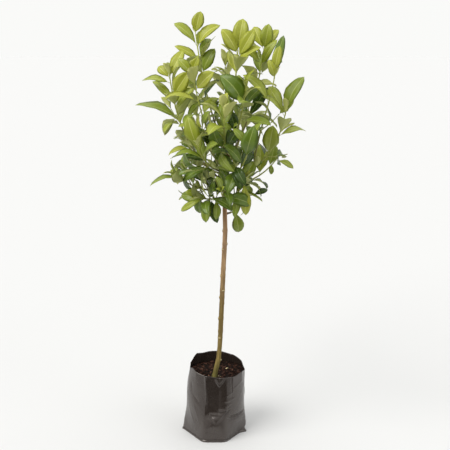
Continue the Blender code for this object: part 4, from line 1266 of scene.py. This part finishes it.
def inside(place, middle, half_sizes, lower_narrowing):
    """Whether a place lies in an egg-shaped room."""
    offset = place - middle
    if offset.z < 0:
        offset *= lower_narrowing
    return sum((offset[axis] / half_sizes[axis]) ** 2 for axis in range(3)) < 1


def pair_shares(first, pairs):
    """The shares of a limb at which its pairs of leaves stand, closer together near its tip."""
    for pair in range(pairs):
        along = FIRST_PAIR + (LAST_PAIR - FIRST_PAIR) * (pair / max(pairs - 1, 1)) ** PAIR_CROWDING
        yield first + (1 - first) * along


def add_pairs(crown, owner, axis, first, pairs, length, turn, chance, leaves):
    """Crossed pairs of leaves up a stem."""
    for pair, share in enumerate(pair_shares(first, pairs)):
        age = 1 - pair / max(pairs - 1, 1)
        for half in range(2):
            angle = turn + math.pi / 2 * pair + math.pi * half
            for _ in range(TRIES):
                leaf = rule_leaf(axis, share, angle, age, length * length_at(age), chance)
                tip = leaf.root + leaf.way * leaf.length
                if inside(tip, *CROWN_ROOM) and crown.has_room(owner, leaf):
                    crown.add_leaf(owner, leaf)
                    leaves.append(leaf)
                    break


def add_twig(crown, shoot, axis, share, slants, lengths, room, chance):
    """A side twig of a limb, as a list that stays empty if none of the tries finds room."""
    heading = axis.heading(share)
    for _ in range(TRIES):
        outward = outward_from(heading, chance.uniform(0, 2 * math.pi))
        slant = math.radians(chance.uniform(*slants))
        way = heading * math.cos(slant) + outward * math.sin(slant)
        twig = twig_axis(axis.place(share), way, chance.uniform(*lengths))
        if inside(twig.points[-1], *room) and crown.twig_has_room(shoot.name, twig):
            crown.add_limb(shoot.name, twig, 0.0, 1.0, TWIG_STEPS, TWIG_SIDES_LEVEL)
            return [twig]
    return []


def add_twig_leaves(crown, shoot, twig, length_share, chance, leaves):
    """Two pairs of smaller leaves on a side twig."""
    turn = chance.uniform(0, math.pi)
    length = shoot.length * length_share
    add_pairs(crown, shoot.name, twig, TWIG_BARE, TWIG_PAIRS, length, turn, chance, leaves)


# %% Grow the head
def grow_crown():
    """The room that is taken, every limb's centreline, and for each shoot its twigs and leaves."""
    axes = {"trunk": trunk_axis()}
    for shoot in sorted(SHOOTS, key=lambda shoot: shoot.parent != "trunk"):
        axes[shoot.name] = limb_axis(shoot, axes[shoot.parent])
    crown = Crown()
    crown.add_limb("trunk", axes["trunk"], 0.0, 1.0, TRUNK_STEPS, BOUGH_SIDES_LEVEL)
    for shoot in SHOOTS:
        axis = axes[shoot.name]
        crown.add_limb("bough", axis, 0.0, shoot.bare, BOUGH_STEPS, BOUGH_SIDES_LEVEL)
        crown.add_limb(shoot.name, axis, shoot.bare, 1.0, STEM_STEPS, TWIG_SIDES_LEVEL)
    grown = {shoot.name: ([], []) for shoot in SHOOTS}
    for shoot in SHOOTS:
        for entry in shoot.reach:
            leaf = reach_leaf(axes[shoot.name], shoot.bare, entry)
            if crown.has_room(shoot.name, leaf):
                crown.add_leaf(shoot.name, leaf)
                grown[shoot.name][1].append(leaf)
            else:
                print("no room for a reaching leaf of", shoot.name, entry)
    for number, shoot in enumerate(SHOOTS):
        chance = random.Random(SEED + number)
        twigs, leaves = grown[shoot.name]
        axis = axes[shoot.name]
        for twig in range(shoot.twigs):
            share = shoot.bare + (1 - shoot.bare) * (FIRST_TWIG + TWIG_SPACING * twig)
            twigs += add_twig(crown, shoot, axis, share, TWIG_SLANT, TWIG_LENGTH, CROWN_ROOM, chance)
        turn = math.radians(shoot.turn)
        add_pairs(crown, shoot.name, axis, shoot.bare, shoot.pairs, shoot.length, turn, chance, leaves)
        for twig in twigs:
            add_twig_leaves(crown, shoot, twig, TWIG_LEAF_SHARE, chance, leaves)
    return crown, axes, grown


crown, axes, grown = grow_crown()
print("the rule grows", sum(len(leaves) for _, leaves in grown.values()), "leaves")

# %% [markdown]
# ## Finer growth
#
# The solids stop at the main shoots. The real head also has short twigs with smaller leaves inside it,
# which close its heart but leave its edge open. They follow the same rule from the same limbs: each
# limb tries more twigs, from its bough as well as from its stem, and only those with room are kept.

# %% Grow the finer twigs
FINE_TWIGS = 6
FINE_TWIG_SLANT = (35, 70)
FINE_TWIG_LENGTH = (0.045, 0.085)
FINE_LEAF_SHARE = 0.82
# Fine twigs grow between these shares of a whole limb
FINE_FROM, FINE_TO = 0.22, 0.86
FINE_SEED = 105
# The heart of the head, a room like the crown's: every finer twig ends inside it
HEART_ROOM = (Vector((0.015, 0.0, 1.150)), Vector((0.155, 0.190, 0.200)), 1.0)
# The short spur under the head gets none of it
BARE_SHOOT = "low_spur"


def fine_twigs(shoot, axis, chance):
    """Short twigs along a whole limb, each with its small leaves."""
    for number in range(FINE_TWIGS):
        share = FINE_FROM + (FINE_TO - FINE_FROM) * (number + chance.uniform(0, 1)) / FINE_TWIGS
        ranges = (FINE_TWIG_SLANT, FINE_TWIG_LENGTH)
        for twig in add_twig(crown, shoot, axis, share, *ranges, HEART_ROOM, chance):
            leaves = []
            add_twig_leaves(crown, shoot, twig, FINE_LEAF_SHARE, chance, leaves)
            yield twig, leaves


finer = {BARE_SHOOT: []}
for number, shoot in enumerate(SHOOTS):
    if shoot.name != BARE_SHOOT:
        chance = random.Random(FINE_SEED + number)
        finer[shoot.name] = list(fine_twigs(shoot, axes[shoot.name], chance))
fine = [leaves for twigs in finer.values() for _, leaves in twigs]
print("the finer growth adds", len(fine), "twigs and", sum(len(leaves) for leaves in fine), "leaves")

# %% [markdown]
# ## Boughs and stems
#
# Young wood of this shrub is green, and the oldest, innermost wood turns brown. Each limb is thicker at
# its fork, and swells a little at each pair of leaves. All the limbs of a kind are splines of one curve,
# whose bevel makes them round, so one short function makes every tube in the head.

# %% Make the boughs, the stems and the twigs
BOUGH_RINGS, STEM_RINGS, TWIG_RINGS = 30, 60, 14
LIMB_SIDES_LEVEL = 3
# Bark and leaf bases make a limb this much thicker than its solid
LIMB_FULLNESS = 1.22
FORK_SWELL, FORK_SWELL_LENGTH = 0.45, 0.012
NODE_SWELL, NODE_SWELL_LENGTH = 0.30, 0.0035
OVERLAP = 0.004


def swollen(axis, first, last, rings, nodes, fork_at=None):
    """A stretch of a limb with a swelling at its fork and at each of its nodes."""
    points, diameters = stretch(axis, first, last, rings)
    for ring in range(rings + 1):
        share = first + (last - first) * ring / rings
        factor = LIMB_FULLNESS
        for node in nodes:
            factor += NODE_SWELL * bell((share - node) * axis.length, NODE_SWELL_LENGTH)
        if fork_at is not None:
            factor += FORK_SWELL * math.exp(-max(share * axis.length - fork_at, 0.0) / FORK_SWELL_LENGTH)
        diameters[ring] *= factor
    return points, diameters


boughs, stems, twigs = [], [], []
twig_nodes = list(pair_shares(TWIG_BARE, TWIG_PAIRS))
for shoot in SHOOTS:
    axis = axes[shoot.name]
    nodes = list(pair_shares(shoot.bare, shoot.pairs))
    inside_parent = axes[shoot.parent].diameter(shoot.fork) / 2
    boughs.append(swollen(axis, 0.0, shoot.bare + OVERLAP / axis.length, BOUGH_RINGS, nodes, inside_parent))
    stems.append(swollen(axis, shoot.bare, 1.0, STEM_RINGS, nodes))
    side_twigs = grown[shoot.name][0] + [twig for twig, _ in finer[shoot.name]]
    twigs += [swollen(twig, 0.0, 1.0, TWIG_RINGS, twig_nodes) for twig in side_twigs]

# %% The bark of the boughs and stems
WOOD_BY_REACH = ((0.01, (0.130, 0.080, 0.040)), (0.06, (0.230, 0.200, 0.070)), (0.22, (0.330, 0.350, 0.080)))
STEM_BY_HEIGHT = ((0.0, (0.200, 0.180, 0.055)), (0.35, (0.350, 0.380, 0.080)), (1.0, (0.500, 0.540, 0.120)))
HEAD_FOOT, HEAD_TOP = 0.85, 1.60
YOUNG_BARK_FINISH = ((0.25, 0.27, 0.07), 0.55, 0.4)
YOUNG_BARK_GRAIN, YOUNG_BARK_SHADES = (180.0, 2.0), (0.75, 1.2)
# To measure the distance from the trunk, the trunk is moved to the middle and the height is left out
TRUNK_IN_HEAD = (-0.046, 0.0, 0.0)
SIDEWAYS = (1.0, 1.0, 0.0)
ROUND_TWIG_SIDES_LEVEL = 2


def young_bark(name, from_trunk):
    """Smooth green bark, browner near the trunk or low in the head, with a fine grain."""
    material = new_material(name, *YOUNG_BARK_FINISH)
    tree, shader = workings(material)
    spot = place_on(tree)
    if from_trunk:
        sideways = {"Vector": spot, "Location": TRUNK_IN_HEAD, "Scale": SIDEWAYS}
        offset = add_node(tree, "Mapping", sideways).outputs["Vector"]
        reach = add_node(tree, "VectorMath", {"Vector": offset}, operation="LENGTH").outputs["Value"]
        colour = add_ramp(tree, reach, WOOD_BY_REACH)
    else:
        colour = add_ramp(tree, ranged(tree, height_in(tree, spot), HEAD_FOOT, HEAD_TOP), STEM_BY_HEIGHT)
    add_shaded_colour(tree, shader, colour, add_noise(tree, spot, *YOUNG_BARK_GRAIN), *YOUNG_BARK_SHADES)
    return material


bough_nodes = ["bough_" + shoot.name for shoot in SHOOTS]
bough_bark = young_bark("bough_bark", True)
stem_bark = young_bark("stem_bark", False)
add_piece("boughs", tubes("boughs", boughs, LIMB_SIDES_LEVEL), [bough_bark], "bough_bark", bough_nodes)
add_piece("stems", tubes("stems", stems, LIMB_SIDES_LEVEL), [stem_bark], "bough_bark")
add_piece("twigs", tubes("twigs", twigs, ROUND_TWIG_SIDES_LEVEL), [stem_bark], "bough_bark")

# %% [markdown]
# ## The leaves
#
# A viburnum leaf is leathery and glossy, broadest beyond its middle, folded along a pale midrib and
# quilted between its side veins. Its underside is paler and dull, and here its colour is brightened further
# with painted light for the light that shines through a leaf. A leaf could be one flat card with a
# picture on it, but then it would have no gloss and no back. Here each is a thin closed shape of few
# faces that follows its own outline, arch and fold, and the leaves of each tone are joined.

# %% The surface of one leaf
# Shares along the blade at which the leaf has a row of points, and their places from margin to margin
BLADE_ROWS = (0.0, 0.09, 0.22, 0.37, 0.53, 0.69, 0.84, 1.0)
BLADE_COLUMNS = (-1.0, -0.52, -0.055, 0.055, 0.52, 1.0)
# The strip of faces between the two middle columns is the midrib
MIDRIB_COLUMN = 2
TIP_SHARPNESS = 0.53
BASE_SHARPNESS = 0.92
NARROWEST_HALF_WIDTH = 0.0005
SHEET_THICKNESS = 0.0011
# How far the surface rises between two veins, as a share of the half width, and how the veins slant up
QUILTING = 0.050
VEIN_SLANT = 0.15
# The blade is folded along its midrib, and its margins level out again
FOLD_STEEPNESS, FOLD_LEVELLING = 1.5, 0.6
MARGIN_WAVE, MARGIN_WAVES = 0.09, 9
TIP_CURLS_FROM = 0.45
# No two leaves are quite alike: where the waves of the margin start, the twist from foot to tip in
# radians, the bow to one side, the drop of the tip and the arch, each for one leaf, as shares of its
# length, the strength of the fold, and how far out the blade is broadest
Habit = namedtuple("Habit", "wave twist bow curl arch fold broadest")
HABITS = Habit(
    wave=(0.0, 6.28),
    twist=(-0.55, 0.55),
    bow=(-0.040, 0.040),
    curl=(0.0, 0.16),
    arch=(-0.01, 0.05),
    fold=(0.7, 2.0),
    broadest=(0.92, 1.30),
)


def new_habit(chance):
    return Habit(*(chance.uniform(*spread) for spread in HABITS))


def half_width(along, width, broadest):
    """Half the leaf's width at a share along its blade: wedge-shaped below, broad, then pointed."""
    sharpness = tapered(along, BASE_SHARPNESS, TIP_SHARPNESS)
    swell = math.sin(math.pi * along**broadest) if 0 < along < 1 else 0.0
    return max(width / 2 * swell**sharpness, NARROWEST_HALF_WIDTH)


def blade_point(leaf, habit, row, across, below=0.0):
    """A point of the blade in one of its rows, which run out and up along the side veins."""
    along = BLADE_ROWS[row]
    along += VEIN_SLANT * abs(across) * math.sin(math.pi * along)
    share = PETIOLE_SHARE + (1 - PETIOLE_SHARE) * along
    half = half_width(along, leaf.width, habit.broadest)
    rise = 4 * (leaf.arch + habit.arch) * leaf.length * share * (1 - share)
    rise -= habit.curl * leaf.length * max((along - TIP_CURLS_FROM) / (1 - TIP_CURLS_FROM), 0.0) ** 2
    aside = 4 * habit.bow * leaf.length * share * (1 - share)
    fold = leaf.cup * habit.fold * half * (FOLD_STEEPNESS * abs(across) - FOLD_LEVELLING * across * across)
    quilt = QUILTING * half * (1 if row % 2 else -1) * (1 - abs(2 * abs(across) - 1))
    margin = MARGIN_WAVE * half * math.sin(habit.wave + along * MARGIN_WAVES) * across * across
    side = leaf.way.cross(leaf.face)
    turn = habit.twist * (along - 0.5)
    twisted_side = side * math.cos(turn) + leaf.face * math.sin(turn)
    twisted_face = leaf.face * math.cos(turn) - side * math.sin(turn)
    return (
        leaf.root
        + leaf.way * (leaf.length * share)
        + side * aside
        + leaf.face * rise
        + twisted_side * (half * across)
        + twisted_face * (fold + quilt + margin - below)
    )


def blade(leaf, habit):
    """Points of one leaf, and the faces of its upper side, midrib and under side."""
    points, upper, midrib, lower = [], [], [], []
    columns = len(BLADE_COLUMNS)
    for row in range(len(BLADE_ROWS)):
        points += [blade_point(leaf, habit, row, across) for across in BLADE_COLUMNS]
        points += [blade_point(leaf, habit, row, across, SHEET_THICKNESS) for across in BLADE_COLUMNS[1:-1]]
    row_size = 2 * columns - 2
    top = list(range(columns))
    bottom = [0, *range(columns, row_size), columns - 1]
    # The faces of both surfaces start at the same corner, so they bend along the same diagonal and never
    # cross
    for row in range(len(BLADE_ROWS) - 1):
        here, there = row * row_size, (row + 1) * row_size
        for column, (a, b) in enumerate(zip(top, top[1:])):
            strip = midrib if column == MIDRIB_COLUMN else upper
            strip.append((here + a, here + b, there + b, there + a))
        for a, b in zip(bottom, bottom[1:]):
            lower.append((here + a, there + a, there + b, here + b))
    ring = [*bottom, *reversed(top[1:-1])]
    last = (len(BLADE_ROWS) - 1) * row_size
    lower += [tuple(ring), tuple(last + corner for corner in reversed(ring))]
    return points, (upper, midrib, lower)


# %% The tones of the leaves
# Colours of the upper side, the midrib and the under side, the upper side's roughness, and the slot
Tone = namedtuple("Tone", "name upper midrib under roughness slot")
# Each under side colour is the leaf's own paler green, brightened further with painted light for the light
# shining through the leaf
TONES = (
    Tone("lime", (0.415, 0.450, 0.045), (0.620, 0.640, 0.170), (0.670, 0.690, 0.240),
         0.34, "young_leaves"),
    Tone("fresh", (0.345, 0.405, 0.040), (0.530, 0.570, 0.150), (0.640, 0.670, 0.240),
         0.32, "young_leaves"),
    Tone("leaf_green", (0.245, 0.320, 0.032), (0.440, 0.500, 0.130), (0.590, 0.630, 0.235),
         0.30, "grown_leaves"),
    Tone("deep_green", (0.130, 0.205, 0.017), (0.320, 0.400, 0.100), (0.530, 0.570, 0.220),
         0.28, "old_leaves"),
    Tone("dark_green", (0.049, 0.093, 0.008), (0.170, 0.240, 0.060), (0.430, 0.480, 0.190),
         0.26, "old_leaves"),
)
UPPER_GLOSS = 0.50
# Roughness and gloss of the other surfaces
RIB_SURFACE, UNDER_SURFACE = (0.5, 0.4), (0.6, 0.25)
SHOOT_TONES = {"young": -0.1, "middle": 0.8, "old": 1.5}
TONE_BY_AGE = 2.4
TONE_BY_CHANCE = 0.90
# Painted shade: a leaf's tone darkens by this much for each step deeper inside the head
INNER_PAINTED_SHADE = 0.6


def tone_of(grown_leaf, chance):
    """The tone of one leaf: darker with age, and darker still deeper inside the head as painted shade."""
    level = SHOOT_TONES[grown_leaf.shoot.tone] + TONE_BY_AGE * grown_leaf.age
    # painted shade by depth in the head
    level += INNER_PAINTED_SHADE * grown_leaf.inner + chance.gauss(0, TONE_BY_CHANCE)
    return TONES[min(max(round(level), 0), len(TONES) - 1)]


# %% Gather every leaf with its age
TIP_LEAF_LENGTH = (0.034, 0.050)
TIP_LEAF_CUP = 0.30
TIP_SLANT = (0.20, 0.38)
# How far inside the head leaves count as standing, for painted shade: darker deeper in, lighter at the shoot
# tips
SHOOT_DEPTH, FINE_DEPTH, TIP_DEPTH = 0.0, 1.0, -0.4
# The age of a finer leaf is measured from this share of its shoot on
FINE_AGE_FROM = 0.2


def age_on(leaf, axis, first):
    """A leaf's age, from 0 at the tip of its stem to 1 at its foot, found from the place of its root."""
    span = (axis.place(1.0) - axis.place(first)).length
    return min((axis.place(1.0) - leaf.root).length / span, 1.0)


def tip_leaves(axis, turn, chance):
    """The last pair of small leaves, which are just opening at a shoot's tip."""
    heading = axis.heading(1.0)
    for half in range(2):
        outward = outward_from(heading, turn + math.pi * half)
        slant = chance.uniform(*TIP_SLANT)
        way = heading * math.cos(slant) + outward * math.sin(slant)
        face = facing(way, heading, 0.0)
        length = chance.uniform(*TIP_LEAF_LENGTH)
        yield Leaf(axis.place(1.0), way, face, length, length * LEAF_WIDTH, YOUNG_ARCH, TIP_LEAF_CUP)


everything = []
for number, shoot in enumerate(SHOOTS):
    axis = axes[shoot.name]
    for leaf in grown[shoot.name][1]:
        everything.append(GrownLeaf(leaf, age_on(leaf, axis, shoot.bare), shoot, SHOOT_DEPTH))
    for _, leaves in finer[shoot.name]:
        for leaf in leaves:
            everything.append(GrownLeaf(leaf, age_on(leaf, axis, FINE_AGE_FROM), shoot, FINE_DEPTH))
    if shoot.pairs > 1:
        chance = random.Random(number)
        turn = math.radians(shoot.turn) + math.pi / 2 * shoot.pairs
        everything += [GrownLeaf(leaf, 0.0, shoot, TIP_DEPTH) for leaf in tip_leaves(axis, turn, chance)]
print("the head has", len(everything), "leaves")

# %% Make the leaves, one piece for each tone
# Side veins run in the valleys between the quilted parts of the blade, in these rows. Each reaches from
# the midrib towards the margin and narrows there, and is paler than the blade by a share of the midrib
VEIN_ROWS = range(2, 7, 2)
VEIN_REACH = ((0.055, 0.0011), (0.52, 0.0008), (1.0, 0.0003))
VEIN_PALENESS = 0.50
VEIN_SUNK = 0.0002
VEIN_SIDES_LEVEL = 0

chance = random.Random(SEED)
by_tone = {tone: [] for tone in TONES}
for grown_leaf in everything:
    by_tone[tone_of(grown_leaf, chance)].append((grown_leaf.leaf, new_habit(chance)))

# Each mass of foliage is stood for by the leaves whose slot goes with its shoot's tone
SLOT_OF_SHOOT = {"young": "young_leaves", "middle": "grown_leaves", "old": "old_leaves"}
foliage_nodes = {slot: [] for slot in SLOT_OF_SHOOT.values()}
for shoot in SHOOTS:
    foliage_nodes[SLOT_OF_SHOOT[shoot.tone]].append("foliage_" + shoot.name)


def side_veins(leaf, habit):
    """The side veins of one leaf: fine tubes in the valleys of its upper side."""
    diameters = [diameter for _, diameter in VEIN_REACH]
    for row in VEIN_ROWS:
        for side in (-1, 1):
            points = [blade_point(leaf, habit, row, side * across, VEIN_SUNK) for across, _ in VEIN_REACH]
            yield points, diameters


for tone in TONES:
    points, sides = [], ([], [], [])
    for leaf, habit in by_tone[tone]:
        leaf_points, leaf_sides = blade(leaf, habit)
        for side, leaf_side in zip(sides, leaf_sides):
            side += [tuple(corner + len(points) for corner in face) for face in leaf_side]
        points += leaf_points
    mesh = bpy.data.meshes.new("leaves_" + tone.name)
    mesh.from_pydata(points, [], [face for side in sides for face in side])
    surfaces = [
        new_material(tone.name + "_upper_side", tone.upper, tone.roughness, UPPER_GLOSS),
        new_material(tone.name + "_midrib", tone.midrib, *RIB_SURFACE),
        # the under side's colour holds painted light shining through the leaf
        new_material(tone.name + "_under_side", tone.under, *UNDER_SURFACE),
    ]
    add_piece("leaves_" + tone.name, mesh, surfaces, tone.slot, foliage_nodes.pop(tone.slot, []))
    materials = [number for number, side in enumerate(sides) for _ in side]
    mesh.polygons.foreach_set("material_index", materials)
    veins = [vein for leaf, habit in by_tone[tone] for vein in side_veins(leaf, habit)]
    vein_colour = Vector(tone.upper).lerp(Vector(tone.midrib), VEIN_PALENESS)
    vein_material = new_material(tone.name + "_veins", vein_colour, *RIB_SURFACE)
    add_piece("veins_" + tone.name, tubes("veins", veins, VEIN_SIDES_LEVEL), [vein_material], tone.slot)

# %% [markdown]
# ## Leaf stalks and midribs
#
# A leaf stalk runs on as the midrib of its blade: pale, round below and just showing as a line above.
# One thin tapered tube that follows the middle of the blade makes both, so it stays with the blade
# however it bends.

# %% Make the stalks and midribs
# Diameters at the stalk's foot, at the blade's foot and at its tip, for leaves of this length or more
RIB_DIAMETERS = (0.00264, 0.0017, 0.0005)
FULL_LENGTH = 0.11
RIB_SUNK = 0.30
RIB_COLOURS = {"young": (0.600, 0.620, 0.200), "grown": (0.480, 0.530, 0.180)}


def rib(leaf, habit):
    """The stalk and midrib of one leaf as points and diameters along the middle of its blade."""
    stalk_foot, blade_foot, blade_tip = RIB_DIAMETERS
    points, diameters = [leaf.root], [stalk_foot]
    scale = min(leaf.length / FULL_LENGTH, 1.0)
    for row, along in enumerate(BLADE_ROWS[:-1]):
        diameter = tapered(along, blade_foot, blade_tip) * scale
        points.append(blade_point(leaf, habit, row, 0.0) - leaf.face * diameter * RIB_SUNK)
        diameters.append(diameter)
    return points, diameters


for kind, tones in (("young", TONES[:2]), ("grown", TONES[2:])):
    ribs = [rib(leaf, habit) for tone in tones for leaf, habit in by_tone[tone]]
    rib_material = new_material(kind + "_midribs", RIB_COLOURS[kind], *RIB_SURFACE)
    rib_mesh = tubes("ribs", ribs, VEIN_SIDES_LEVEL)
    add_piece(kind + "_stalks_and_midribs", rib_mesh, [rib_material], kind + "_leaves")
